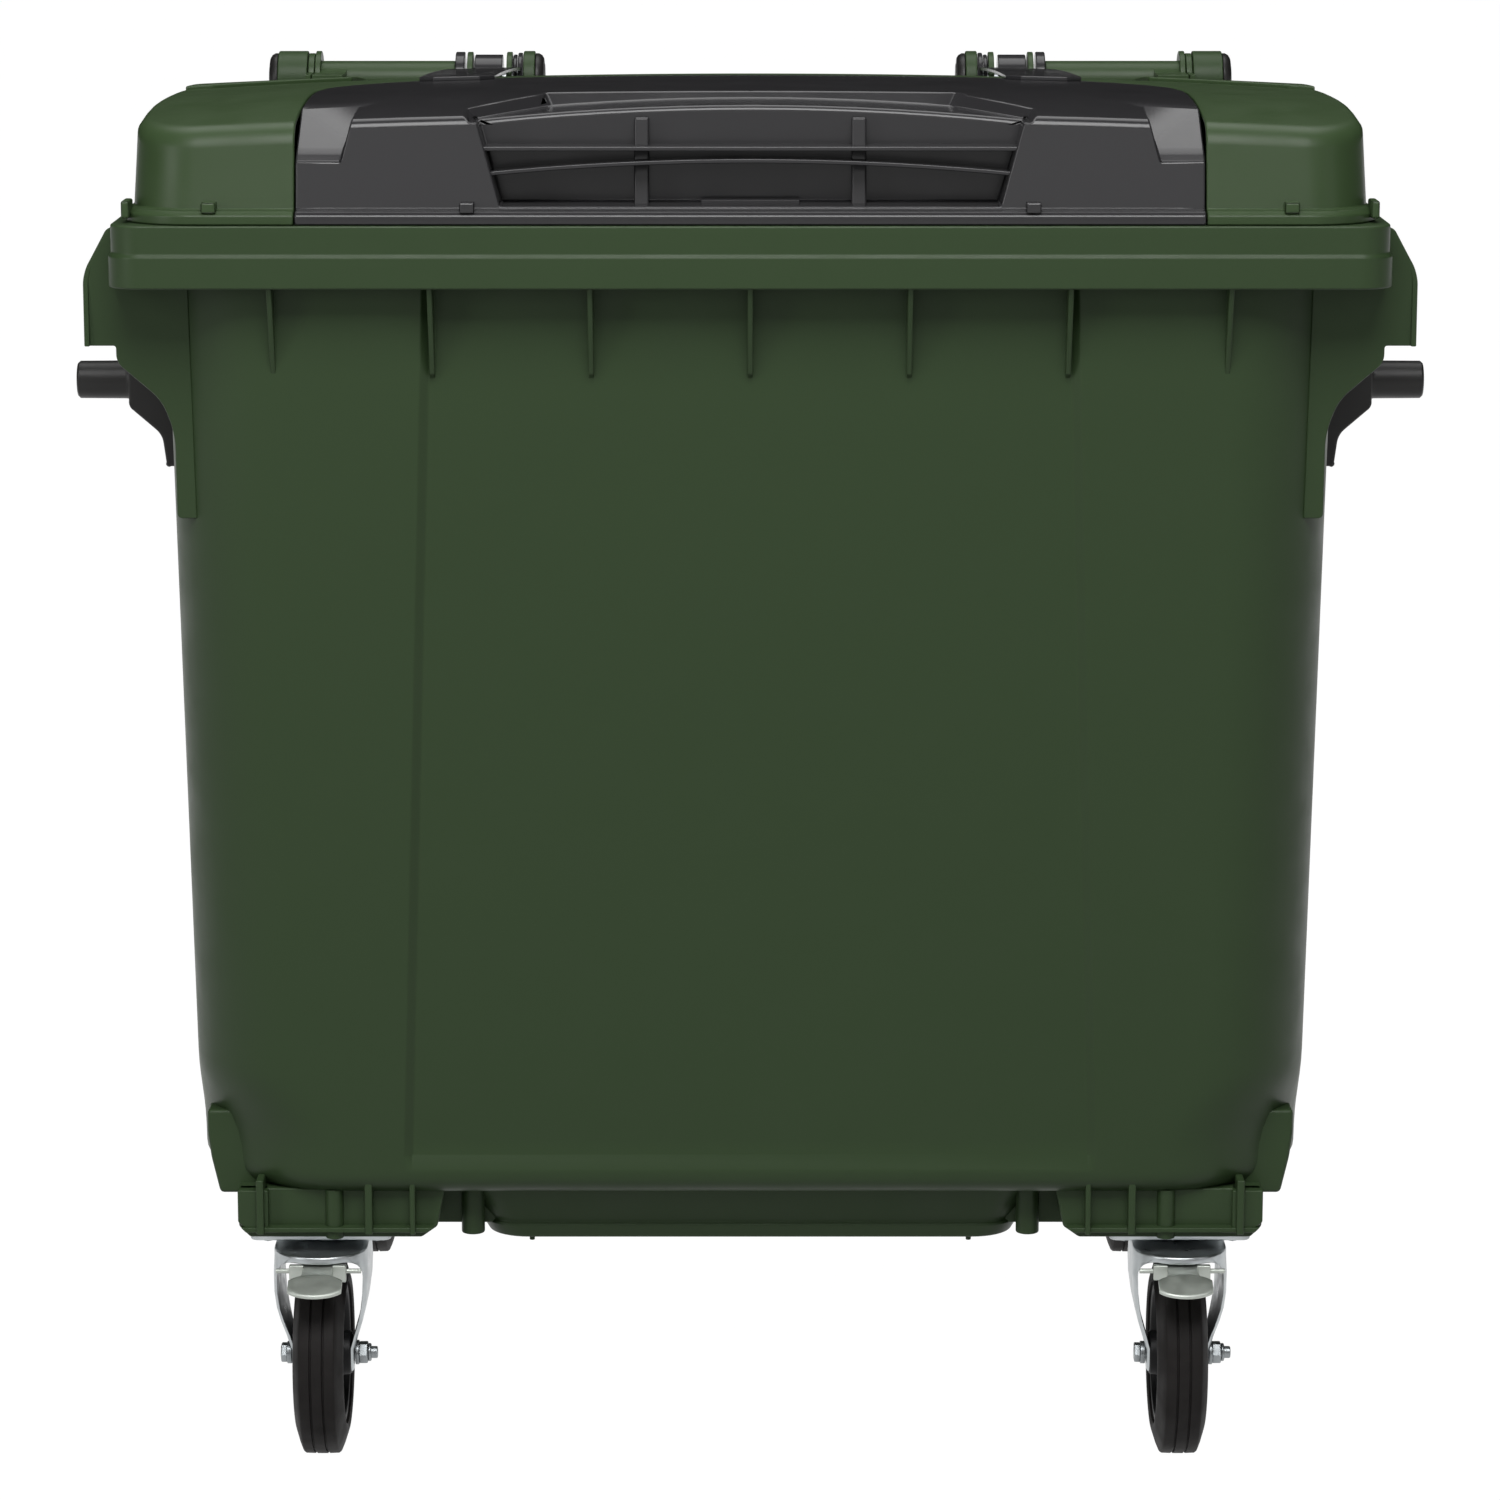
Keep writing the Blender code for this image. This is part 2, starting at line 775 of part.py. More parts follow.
def make_body(look):
    body = add_object("container_body", outer_tub())
    join(body, pan(0, floor_height + wall / 2))
    join(body, *skids())
    join(body, *castor_blocks())
    join(body, *rim_ribs())
    join(body, *side_guards())
    join(body, *trunnion_pads())
    join(body, *hinge_eyes())
    cut(body, cavity(), pan(wall, floor_height + 2 * wall))
    cut(body, bore())
    for _, x, y in castor_places():
        low = (x - pocket_width / 2, y - pocket_depth / 2, block_foot - cut_overrun)
        high = (x + pocket_width / 2, y + pocket_depth / 2, floor_height - pocket_roof)
        cut(body, box(low, high))
        for bolt_x, bolt_y in bolt_places(x, y):
            cut(body, rod(2, (bolt_x, bolt_y, castor_height), -cut_overrun, bolt_grip + 2 * fit_gap,
                          bolt_radius + fit_gap))
    cut(body, rod(2, (0, body_y, pan_height), -cut_overrun, 2 * wall, plug_radius + 2 * fit_gap,
                  round_steps))
    return finish(body, look)


def make_trunnion(name, side, look):
    face = pad_reach + fit_gap
    outline = [(face, trunnion_top), (trunnion_shoulder, trunnion_height + trunnion_chin),
               (trunnion_shoulder, trunnion_height - trunnion_jaw),
               (face + trunnion_plate, trunnion_height - trunnion_knee),
               (face + trunnion_plate, trunnion_foot), (face, trunnion_foot)]
    points = [(side * x, z) for x, z in outline]
    item = add_object(name, prism(points, 1, body_y - trunnion_width / 2,
                                  body_y + trunnion_width / 2))
    left, right = sorted((side * (face + trunnion_plate / 2), side * trunnion_span / 2))
    join(item, rod(0, (0, body_y, trunnion_height), left, right, trunnion_diameter / 2,
                   round_steps))
    return finish(item, look)


def lid_top(x, y):
    """Height of the lids' upper surface."""
    side = lid_side_top - lid_fall * ((y + lid_peak_forward) / overall_depth) ** 2
    ahead = max(-y - lid_peak_forward, 0) / lid_front_curve
    side -= lid_front_fall * ahead ** 2
    return side + lid_crown * (1 - (x / (lid_width / 2)) ** 2)


def lid_section(half_x, front, back, corner, height):
    return rounded_ring(half_x, front, back, corner, height, even_stations(half_x, corner),
                        side_steps - 1)


def lid_dome(inset):
    """The lids' common dome: the outside, or the inside, inset by a wall."""
    half_x, front, back = lid_width / 2, lid_front_y, lid_back
    rings = []
    def ring(side, near, height):
        rings.append(lid_section(half_x - side, front + near, back - side, lid_corner - side / 2,
                                 height))
    if not inset:
        ring(0, 0, lid_foot)
        ring(0, 0, lid_foot + lid_flange)
        ring(lid_fillet, lid_fillet, lid_foot + lid_flange + lid_fillet)
    low = lid_foot - cut_overrun if inset else lid_foot + lid_flange + lid_fillet
    ring(lid_ledge_side + inset, lid_ledge_front + inset, low)
    lean = lid_ledge_front + lid_lean + inset
    side = lid_ledge_side + lid_side_lean + inset
    ring(side, lean, lambda x, y: lid_top(x, y) - lid_round - inset)
    ring(side + lid_round * 0.3, lean + lid_round * 0.3,
         lambda x, y: lid_top(x, y) - lid_round * 0.3 - inset)
    ring(side + lid_round, lean + lid_round, lambda x, y: lid_top(x, y) - inset)
    depth = (back - front) / 2
    for share in dome_shares:
        rings.append(lid_section(half_x - side - share * depth, front + lean + share * depth,
                                 back - side - share * depth, lid_corner * (1 - share),
                                 lambda x, y: lid_top(x, y) - inset))
    return loft(rings, fanned=True)


def opening_outline(margin):
    """The small lid's outline seen from above, made smaller by a margin."""
    half = opening_half_width - margin
    front = lid_front_y - cut_overrun
    arm = opening_arm_side - margin
    side_back, back = opening_side_back - margin, opening_back - margin
    return [(-half, front), (half, front), (half, side_back), (arm, back), (-arm, back),
            (-half, side_back)]


def opening_path(margin, front):
    """The opening's two sides and back, as an open line, made smaller by a margin."""
    half = opening_half_width - margin
    arm = opening_arm_side - margin
    side_back, back = opening_side_back - margin, opening_back - margin
    corners = [(half, front), (half, side_back), (arm, back), (-arm, back), (-half, side_back),
               (-half, front)]
    spots = []
    for a, b in zip(corners, corners[1:]):
        spots += [(a[0] + (b[0] - a[0]) * i / side_steps, a[1] + (b[1] - a[1]) * i / side_steps)
                  for i in range(side_steps)]
    return spots + [corners[-1]]


def ledge_ring():
    """The ledge under the small lid's edge, which follows the lids' upper surface."""
    front = lid_front_y + lid_ledge_front + lid_lean + lid_round + 2 * lid_wall
    paths = [opening_path(margin, front) for margin in (-lid_wall, -fit_gap, ledge_reach)]
    rings = []
    for outer, edge, inner in zip(*paths):
        high = lid_wall / 2
        shelf = lid_wall + ledge_gap
        rings.append([(*outer, lid_top(*outer) - high), (*edge, lid_top(*edge) - high),
                      (*edge, lid_top(*edge) - shelf), (*inner, lid_top(*inner) - shelf),
                      (*inner, lid_top(*inner) - shelf - ledge_thickness),
                      (*outer, lid_top(*outer) - shelf - ledge_thickness)])
    return loft(rings)


def mirrored_span(side, start, end):
    return sorted((side * start, side * end))


def knuckle(side, start, end, radius):
    left, right = mirrored_span(side, start, end)
    return rod(0, (0, hinge_y, hinge_height), left, right, radius, round_steps)


def bore():
    """The bore along the hinge line, through every knuckle at once."""
    reach = barrel_outer_end + cut_overrun
    return rod(0, (0, hinge_y, hinge_height), -reach, reach, shaft_radius + fit_gap, round_steps)


def neck_outline(back_wall, top):
    """The side of a neck that runs from the lid's back wall to the hinge line."""
    root = back_wall - lid_wall / 2
    return [(root, hinge_height - barrel_radius), (root, top), (hinge_y - barrel_radius, top),
            (hinge_y, hinge_height + lid_tube_radius - lid_wall / 2),
            (hinge_y, hinge_height - lid_tube_radius + lid_wall / 2),
            (hinge_y - barrel_radius, hinge_height - lid_tube_radius)]


def make_main_lid(look):
    lid = add_object("main_lid", lid_dome(0))
    cut(lid, lid_dome(lid_wall))
    cut(lid, prism(opening_outline(0), 2, lid_foot - cut_overrun, lid_side_top + 2 * lid_crown))
    join(lid, ledge_ring())
    front = lid_front_y + rail_setback
    inner = opening_half_width + seam / 2
    outer = opening_half_width + rail_end
    join(lid, box((-outer, front, lid_foot), (outer, front + rail_depth, lid_foot + rail_height)))
    for side in (-1, 1):
        left, right = mirrored_span(side, inner, outer + seam)
        join(lid, box((left, lid_front_y + lid_ledge_front, lid_foot + seam),
                      (right, front + rail_depth / 2, lid_foot + rail_height - seam)))
    back_wall = lid_back - lid_ledge_side - lid_side_lean
    low_neck = neck_outline(back_wall, hinge_height - neck_drop)
    high_neck = neck_outline(back_wall, hinge_height + neck_rise)
    for side in (-1, 1):
        parts = [knuckle(side, lid_tube_start, lid_ring_end, lid_tube_radius),
                 knuckle(side, lid_tube_end, lid_ring_end, lid_ring_radius),
                 knuckle(side, lid_edge_ring_start, barrel_outer_start - knuckle_gap,
                         lid_edge_ring_radius),
                 knuckle(side, lid_disc_start, lid_disc_end, lid_disc_radius)]
        inset = fit_gap
        for start, end, neck in ((lid_arm_start, lid_ring_end, high_neck),
                                 (lid_edge_ring_start, barrel_outer_start - knuckle_gap, high_neck),
                                 (lid_disc_start, lid_disc_end, low_neck)):
            left, right = mirrored_span(side, start + inset, end - inset)
            parts.append(prism(neck, 0, left, right))
        join(lid, *parts)
    cut(lid, bore())
    set_origin(lid, (0, hinge_y, hinge_height))
    return finish(lid, look)


def arm(side):
    """One of the small lid's arms, a plate that rises from the lid's top to the hinge."""
    start = opening_back - arm_root
    end = hinge_y - arm_clear
    rings = []
    for i in range(side_steps + 1):
        y = start + (end - start) * i / side_steps
        rise = arm_lift + arm_rise * (i / side_steps) ** 2
        ring = []
        for x, lift in ((arm_inner, 0), (arm_outer, 0), (arm_outer, arm_thickness),
                        (arm_inner, arm_thickness)):
            ring.append((side * x, y, lid_top(x, y) + rise + lift))
        rings.append(ring)
    return loft(rings)


def arm_root_block(side):
    """The web that carries an arm on the small lid's own shell."""
    start, end = opening_back - arm_root, opening_back - 2 * seam
    top = lid_top(arm_outer, start)
    return box((side * (arm_inner + arm_outer) / 2 - (arm_outer - arm_inner) / 2, start,
                top - lid_wall / 2),
               (side * (arm_inner + arm_outer) / 2 + (arm_outer - arm_inner) / 2, end,
                top + arm_thickness))


def recess_shape(margin):
    """The grip recess, or, with a margin, the walls round it."""
    front = lid_front_y - cut_overrun if not margin else lid_front_y + lid_ledge_front + lid_wall / 2
    back = lid_front_y + lid_ledge_front + recess_depth + margin
    floor_z = recess_floor - margin
    top = lid_side_top + lid_crown * 2 if not margin else None
    rings = []
    for y in (front, back):
        high = top or lid_top(0, back) - lid_wall / 2
        rings.append([(-recess_floor_width / 2 - margin, y, floor_z),
                      (recess_floor_width / 2 + margin, y, floor_z),
                      (recess_top_width / 2 + margin, y, high),
                      (-recess_top_width / 2 - margin, y, high)])
    return loft(rings)


def slat(height, rise):
    """A thin louvre across the recess, arched by its rise."""
    back = lid_front_y + lid_ledge_front + recess_depth + lid_wall / 2
    front = lid_front_y + lid_ledge_front + slat_setback
    steps = 2 * side_steps
    share = (height - recess_floor) / (lid_side_top - recess_floor)
    half = (recess_floor_width + (recess_top_width - recess_floor_width) * share) / 2
    half += lid_wall / 2
    rings = []
    for i in range(steps + 1):
        x = half * (2 * i / steps - 1)
        z = height + rise * (1 - (x / half) ** 2)
        rings.append([(x, front, z), (x, back, z), (x, back, z + slat_thickness),
                      (x, front, z + slat_thickness)])
    return loft(rings)


def make_small_lid(look):
    lid = add_object("small_lid", lid_dome(0))
    cut(lid, lid_dome(lid_wall))
    keep = prism(opening_outline(seam), 2, lid_foot - cut_overrun, lid_side_top + 2 * lid_crown)
    combine(lid, keep, "INTERSECT")
    join(lid, recess_shape(lid_wall))
    cut(lid, recess_shape(0))
    join(lid, slat(slat_height, 0), slat(arch_height, arch_rise))
    back = lid_front_y + lid_ledge_front + recess_depth + lid_wall / 2
    for side in (-1, 1):
        left = side * recess_rib_x - recess_rib_width / 2
        join(lid, box((left, back - recess_rib_depth, recess_floor - lid_wall / 2),
                      (left + recess_rib_width, back, lid_top(recess_rib_x, back) - lid_wall / 2)))
        join(lid, arm_root_block(side), arm(side))
        parts = [knuckle(side, small_disc_start, small_disc_end, small_disc_radius),
                 knuckle(side, small_barrel_start, small_barrel_end, small_barrel_radius)]
        low = lid_top(arm_inner, hinge_y - arm_clear) + arm_lift + arm_rise
        low -= arm_thickness / 2
        high = low + 2 * arm_thickness
        for start, end in ((small_disc_start, small_disc_end),
                           (small_barrel_start, small_barrel_end)):
            left, right = mirrored_span(side, start + fit_gap, end - fit_gap)
            parts.append(box((left, hinge_y - arm_clear - arm_thickness, low),
                             (right, hinge_y, high)))
        join(lid, *parts)
    cut(lid, bore())
    set_origin(lid, (0, hinge_y, hinge_height))
    return finish(lid, look)


def make_shaft(name, side, look):
    left, right = mirrored_span(side, barrel_inner_start - shaft_reach,
                                barrel_outer_end + shaft_reach)
    return finish(add_object(name, rod(0, (0, hinge_y, hinge_height), left, right, shaft_radius,
                                       round_steps)), look)


def make_cap(name, side, face, outward, look):
    """A black cap pushed over a shaft's end, with its face against an eye."""
    start = face + outward * fit_gap
    depth = outward * (shaft_reach + fit_gap)
    reach = outward * cap_thickness
    hole = shaft_radius + fit_gap
    profile = [(start, hole), (start, cap_radius)]
    profile += [(start + reach * out, cap_radius * share) for out, share in cap_round_shares]
    profile += [(start + reach, 0), (start + depth, 0), (start + depth, hole)]
    profile = [(side * along, radius) for along, radius in profile]
    bm = turned(profile, 0, (0, hinge_y, hinge_height), round_steps)
    return finish(add_object(name, bm), look)


def plate_outline():
    half_x, half_y = plate_width / 2 - plate_corner, plate_depth / 2 - plate_corner
    points = []
    for x, y, start in ((half_x, -half_y, -90), (half_x, half_y, 0), (-half_x, half_y, 90),
                        (-half_x, -half_y, 180)):
        points += arc((x, y), plate_corner, start, start + 90, corner_steps // 2)
    return points


def make_castor_plate(name, look):
    item = add_object(name, prism(plate_outline(), 2, plate_underside, castor_height))
    join(item, rod(2, (0, 0, race_foot), 0, race_height + plate_thickness / 2, race_radius,
                   round_steps))
    cut(item, rod(2, (0, 0, race_foot), -cut_overrun, race_height + plate_thickness + cut_overrun,
                  kingpin_radius + fit_gap, round_steps))
    for x, y in bolt_places(0, 0):
        cut(item, rod(2, (x, y, plate_underside), -cut_overrun / 2,
                      plate_thickness + cut_overrun, bolt_radius + fit_gap))
    return finish(item, look)


def make_kingpin(name, look):
    low = crown_foot - fit_gap - kingpin_head
    neck_low = crown_foot - fit_gap
    neck_high = castor_height + fit_gap
    profile = [(low, 0), (low, kingpin_head_radius), (neck_low, kingpin_head_radius),
               (neck_low, kingpin_radius), (neck_high, kingpin_radius),
               (neck_high, kingpin_head_radius), (neck_high + kingpin_head, kingpin_head_radius),
               (neck_high + kingpin_head, 0)]
    return finish(add_object(name, turned(profile, 2, (0, 0, 0), round_steps)), look)


def fork_leg(side):
    """One bent leg: sections from the crown down to the axle, then a round foot."""
    foot_front = -castor_trail - fork_foot_radius
    foot_back = -castor_trail + fork_foot_radius
    rows = ((crown_foot + crown_thickness / 2, -fork_top_front, fork_top_back, fork_half_width),
            (crown_foot, -fork_top_front, fork_top_back, fork_half_width),
            (fork_ear_foot, -fork_ear_front, fork_ear_back, fork_half_width),
            (fork_knee, -fork_knee_front, fork_knee_back, fork_knee_half_width),
            (fork_ankle, foot_front, foot_back, fork_foot_half_width),
            (wheel_radius, foot_front, foot_back, fork_foot_half_width))
    rings = []
    for z, front, back, outer in rows:
        rings.append([(side * outer, front, z), (side * outer, back, z),
                      (side * (outer - fork_wall), back, z),
                      (side * (outer - fork_wall), front, z)])
    left, right = sorted((side * fork_foot_half_width, side * (fork_foot_half_width - fork_wall)))
    return loft(rings), rod(0, (0, -castor_trail, wheel_radius), left, right, fork_foot_radius,
                            round_steps)


def make_fork(name, look):
    item = add_object(name, rod(2, (0, 0, crown_foot), 0, crown_thickness, crown_radius,
                                round_steps))
    for side in (-1, 1):
        join(item, *fork_leg(side))
    cut(item, rod(2, (0, 0, crown_foot), -cut_overrun, crown_thickness + cut_overrun,
                  kingpin_radius + fit_gap, round_steps))
    cut(item, rod(0, (0, -castor_trail, wheel_radius), -2 * fork_half_width,
                  2 * fork_half_width, axle_radius + fit_gap))
    return finish(item, look)


def make_tyre(name, look):
    half = tyre_width / 2
    tread = wheel_radius / math.cos(math.pi / wheel_steps)
    profile = [(-half + tyre_shoulder / 4, tyre_inner_radius),
               (-half, tyre_inner_radius + tyre_shoulder),
               (-half + tyre_shoulder / 10, wheel_radius - tyre_shoulder),
               (-tread_width / 2 - tyre_shoulder / 8, tread - tyre_shoulder / 8),
               (-tread_width / 2 + tyre_shoulder / 6, tread)]
    profile += [(-along, radius) for along, radius in reversed(profile)]
    item = add_object(name, turned(profile, 0, (0, 0, 0), wheel_steps))
    item.location = (0, -castor_trail, wheel_radius)
    return finish(item, look)


def make_hub(name, look):
    outer = tyre_inner_radius - fit_gap
    rim_half = tyre_width / 2 - tyre_shoulder / 4
    hole = axle_radius + fit_gap
    profile = [(-hub_width / 2, hole), (-hub_width / 2, hub_radius), (-web_width / 2, hub_radius),
               (-web_width / 2, outer - hub_rim), (-rim_half, outer - hub_rim / 2),
               (-rim_half, outer)]
    profile += [(-along, radius) for along, radius in reversed(profile)]
    item = add_object(name, turned(profile, 0, (0, 0, 0), wheel_steps))
    item.location = (0, -castor_trail, wheel_radius)
    return finish(item, look)


def make_axle_bolt(name, look):
    centre = (0, -castor_trail, wheel_radius)
    face = -fork_foot_half_width - fit_gap
    item = add_object(name, rod(0, centre, face - axle_head_width, face, axle_head_radius,
                                hex_steps))
    join(item, rod(0, centre, face - axle_head_width / 2, stud_reach, axle_radius))
    return finish(item, look)


def make_axle_nut(name, look):
    centre = (0, -castor_trail, wheel_radius)
    face = fork_foot_half_width + fit_gap
    item = add_object(name, rod(0, centre, face, face + nut_width, axle_head_radius, hex_steps))
    cut(item, rod(0, centre, face - cut_overrun, face + nut_width + cut_overrun,
                  axle_radius + fit_gap))
    return finish(item, look)


def make_bolt(name, x, y, look):
    face = plate_underside - fit_gap
    item = add_object(name, rod(2, (x, y, face), -bolt_head, 0, bolt_head_radius, hex_steps))
    join(item, rod(2, (x, y, face), -bolt_head / 2, plate_thickness + bolt_grip, bolt_radius))
    return finish(item, look)


def make_pedal(name, look):
    pivot_y = -pedal_pivot_forward
    reach = fork_half_width - fork_wall - fit_gap
    item = add_object(name, rod(0, (0, pivot_y, pedal_pivot_height), -reach, reach,
                                pedal_bar_radius))
    half = pedal_yoke_width / 2
    yoke_back = pivot_y - pedal_bar_radius / 2
    yoke_front = yoke_back - pedal_yoke_thickness
    join(item, box((-half, yoke_front, pedal_yoke_foot), (half, yoke_back, pedal_yoke_top)))
    front = -pedal_forward
    root = (yoke_front + yoke_back) / 2
    neck = [(root, pedal_pivot_height + pedal_neck_thickness / 2),
            (front + pedal_depth / 4, pedal_height + pedal_thickness * 0.9),
            (front + pedal_depth / 4, pedal_height + pedal_thickness * 0.1),
            (root, pedal_pivot_height - pedal_neck_thickness)]
    join(item, prism(neck, 0, -pedal_neck_width / 2, pedal_neck_width / 2))
    oval = [(pedal_width / 2 * math.cos(a), front + pedal_depth / 2 * math.sin(a))
            for a in (2 * math.pi * (i + 0.5) / round_steps for i in range(round_steps))]
    join(item, prism(oval, 2, pedal_height, pedal_height + pedal_thickness))
    set_origin(item, (0, pivot_y, pedal_pivot_height))
    return finish(item, look)


def make_castor(name, x, y):
    """One castor. Those at the back are turned half round, so that their wheels trail back."""
    kingpin = bpy.data.objects.new("castor_" + name, None)
    kingpin.location = (x, y, 0)
    bpy.context.scene.collection.objects.link(kingpin)
    pieces = [make_castor_plate("castor_plate_" + name, steel),
              make_kingpin("kingpin_" + name, steel),
              make_fork("castor_fork_" + name, steel),
              make_tyre("tyre_" + name, rubber),
              make_hub("wheel_hub_" + name, black),
              make_axle_bolt("axle_bolt_" + name, steel),
              make_axle_nut("axle_nut_" + name, steel)]
    for number, (bolt_x, bolt_y) in enumerate(bolt_places(0, 0), 1):
        pieces.append(make_bolt(f"plate_bolt_{name}_{number}", bolt_x, bolt_y, steel))
    if name.startswith("front"):
        pieces.append(make_pedal("brake_pedal_" + name, steel))
    else:
        kingpin.rotation_euler.z = math.pi
    for item in pieces:
        item.parent = kingpin


def make_plug(name, look):
    face = pan_height - fit_gap
    item = add_object(name, rod(2, (0, body_y, face), -plug_head, 0, plug_head_radius,
                                round_steps))
    join(item, rod(2, (0, body_y, face), -plug_head / 2, plug_stem, plug_radius, round_steps))
    reach = plug_head_radius - plug_grip_width / 2
    join(item, box((-reach, body_y - plug_grip_width / 2, face - plug_head - plug_grip_height),
                   (reach, body_y + plug_grip_width / 2, face - plug_head / 2)))
    set_origin(item, (0, body_y, 0))
    return finish(item, look)


def main():
    clear_scene()
    make_body(green)
    make_main_lid(green)
    make_small_lid(grey)
    for name, side in (("left", -1), ("right", 1)):
        make_trunnion("trunnion_" + name, side, black)
        make_shaft("hinge_shaft_" + name, side, steel)
        make_cap("hinge_cap_" + name + "_outer", side, barrel_outer_end, 1, black)
        make_cap("hinge_cap_" + name + "_inner", side, barrel_inner_start, -1, black)
    for name, x, y in castor_places():
        make_castor(name, x, y)
    make_plug("drain_plug", black)


main()
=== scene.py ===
import math

import bmesh
import bpy
from mathutils import Matrix, Vector


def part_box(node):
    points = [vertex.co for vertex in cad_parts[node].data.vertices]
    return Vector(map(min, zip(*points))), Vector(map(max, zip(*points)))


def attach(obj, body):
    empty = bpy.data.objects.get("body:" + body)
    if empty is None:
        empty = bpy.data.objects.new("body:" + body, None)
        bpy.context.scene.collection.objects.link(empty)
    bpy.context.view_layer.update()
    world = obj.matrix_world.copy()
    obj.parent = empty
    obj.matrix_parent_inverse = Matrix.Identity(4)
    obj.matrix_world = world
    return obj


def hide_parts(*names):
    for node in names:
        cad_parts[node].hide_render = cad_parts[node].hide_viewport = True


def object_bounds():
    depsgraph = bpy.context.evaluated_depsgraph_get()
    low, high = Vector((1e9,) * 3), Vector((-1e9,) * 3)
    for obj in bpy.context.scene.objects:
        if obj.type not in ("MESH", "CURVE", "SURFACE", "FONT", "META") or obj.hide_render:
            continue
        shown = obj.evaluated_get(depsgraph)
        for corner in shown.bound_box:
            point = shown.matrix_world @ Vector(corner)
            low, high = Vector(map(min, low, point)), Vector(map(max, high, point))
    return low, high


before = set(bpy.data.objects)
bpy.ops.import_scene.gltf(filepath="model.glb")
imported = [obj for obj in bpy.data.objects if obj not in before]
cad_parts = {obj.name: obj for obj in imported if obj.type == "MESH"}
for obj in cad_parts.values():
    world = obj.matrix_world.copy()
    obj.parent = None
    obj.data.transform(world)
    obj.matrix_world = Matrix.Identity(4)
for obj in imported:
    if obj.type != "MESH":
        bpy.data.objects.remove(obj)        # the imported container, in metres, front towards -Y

cad_low, cad_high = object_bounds()


def middle(node):
    low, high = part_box(node)
    return (low + high) / 2


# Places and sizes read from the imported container
body_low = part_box("container_body")[0]
lid_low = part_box("main_lid")[0]
hinge = middle("hinge_shaft_left")
hinge_y, hinge_z = hinge.y, hinge.z
plug = middle("drain_plug")
body_y = plug.y
block_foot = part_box("castor_plate_front_left")[1].z

# Rim
rim_depth = 2 * (body_y - body_low.y)
rim_half_y = rim_depth / 2
rim_half_x = 0.599
rim_top = lid_low.z - 0.0003
rim_foot = rim_top - 0.0585
rim_line = rim_foot + 0.0295
rim_step = 0.0025
rim_corner = 0.032
skirt_wall = 0.006
flange_under = rim_top - 0.006

# Tub
wall = 0.006
floor_z = block_foot + 0.0472
tub_top_half = (0.5575, 0.4705)
tub_foot_half = (0.546, 0.402)
tub_corner = 0.105
tub_foot_corner = 0.150
corner_blend = 0.130
foot_roll = 0.024
crease_top = 0.3015
crease_foot = 0.336
crease_depth = 0.006
crease_slope = 0.004
pan_z = floor_z - 0.0572
pan_band = 0.0140
pan_top_half = (0.290, 0.367)
pan_half = (0.260, 0.349)
pan_corner = 0.040

# Lids
lid_half_x = 0.587
lid_front = lid_low.y
lid_back = 0.447
lid_foot = lid_low.z
lid_corner = 0.066
lid_flange = 0.0085
lid_fillet = 0.0045
ledge_side = 0.0075
ledge_front = 0.013
side_lean = 0.003
front_lean = 0.0135
lid_round = 0.011
lid_front_round = 0.024
small_front_round = 0.010
lid_wall = 0.005
lid_side_top = rim_top + 0.0996
lid_crown = 0.0156
lid_peak = -0.300
lid_fall = 0.106
lid_span = 1.077
lid_front_fall = 0.0115
small_front_fall = 0.0085
lid_front_curve = 0.190
seam_half = 0.4243
seam_gap = 0.0015


# Finishes

def start_material(name):
    material = bpy.data.materials.new(name)
    material.use_nodes = True
    tree = material.node_tree
    shader = tree.nodes["Principled BSDF"]
    where = tree.nodes.new("ShaderNodeTexCoord")
    mapping = tree.nodes.new("ShaderNodeMapping")
    tree.links.new(where.outputs["Object"], mapping.inputs["Vector"])
    return material, tree, shader, mapping


def noise(tree, mapping, scale, detail=2.0, roughness=0.5):
    node = tree.nodes.new("ShaderNodeTexNoise")
    node.inputs["Scale"].default_value = scale
    node.inputs["Detail"].default_value = detail
    node.inputs["Roughness"].default_value = roughness
    tree.links.new(mapping.outputs["Vector"], node.inputs["Vector"])
    return node.outputs["Fac"]


def spread(tree, value, low, high, start=0.3, end=0.7):
    node = tree.nodes.new("ShaderNodeMapRange")
    tree.links.new(value, node.inputs["Value"])
    node.inputs["From Min"].default_value = start
    node.inputs["From Max"].default_value = end
    node.inputs["To Min"].default_value = low
    node.inputs["To Max"].default_value = high
    return node.outputs["Result"]


def blend(tree, factor, first, second):
    node = tree.nodes.new("ShaderNodeMix")
    node.data_type = "RGBA"
    tree.links.new(factor, node.inputs["Factor"])
    for socket, value in ((node.inputs[6], first), (node.inputs[7], second)):
        if isinstance(value, tuple):
            socket.default_value = (*value, 1)
        else:
            tree.links.new(value, socket)
    return node.outputs[2]


def combined(tree, operation, first, second):
    """Two values, each a socket or a number, through a maths node."""
    node = tree.nodes.new("ShaderNodeMath")
    node.operation = operation
    for socket, value in zip(node.inputs, (first, second)):
        if isinstance(value, float):
            socket.default_value = value
        else:
            tree.links.new(value, socket)
    return node.outputs[0]


def bump(tree, shader, height, strength, distance):
    node = tree.nodes.new("ShaderNodeBump")
    node.inputs["Strength"].default_value = strength
    node.inputs["Distance"].default_value = distance
    tree.links.new(height, node.inputs["Height"])
    tree.links.new(node.outputs["Normal"], shader.inputs["Normal"])


def scaled(colour, factor):
    return tuple(part * factor for part in colour)


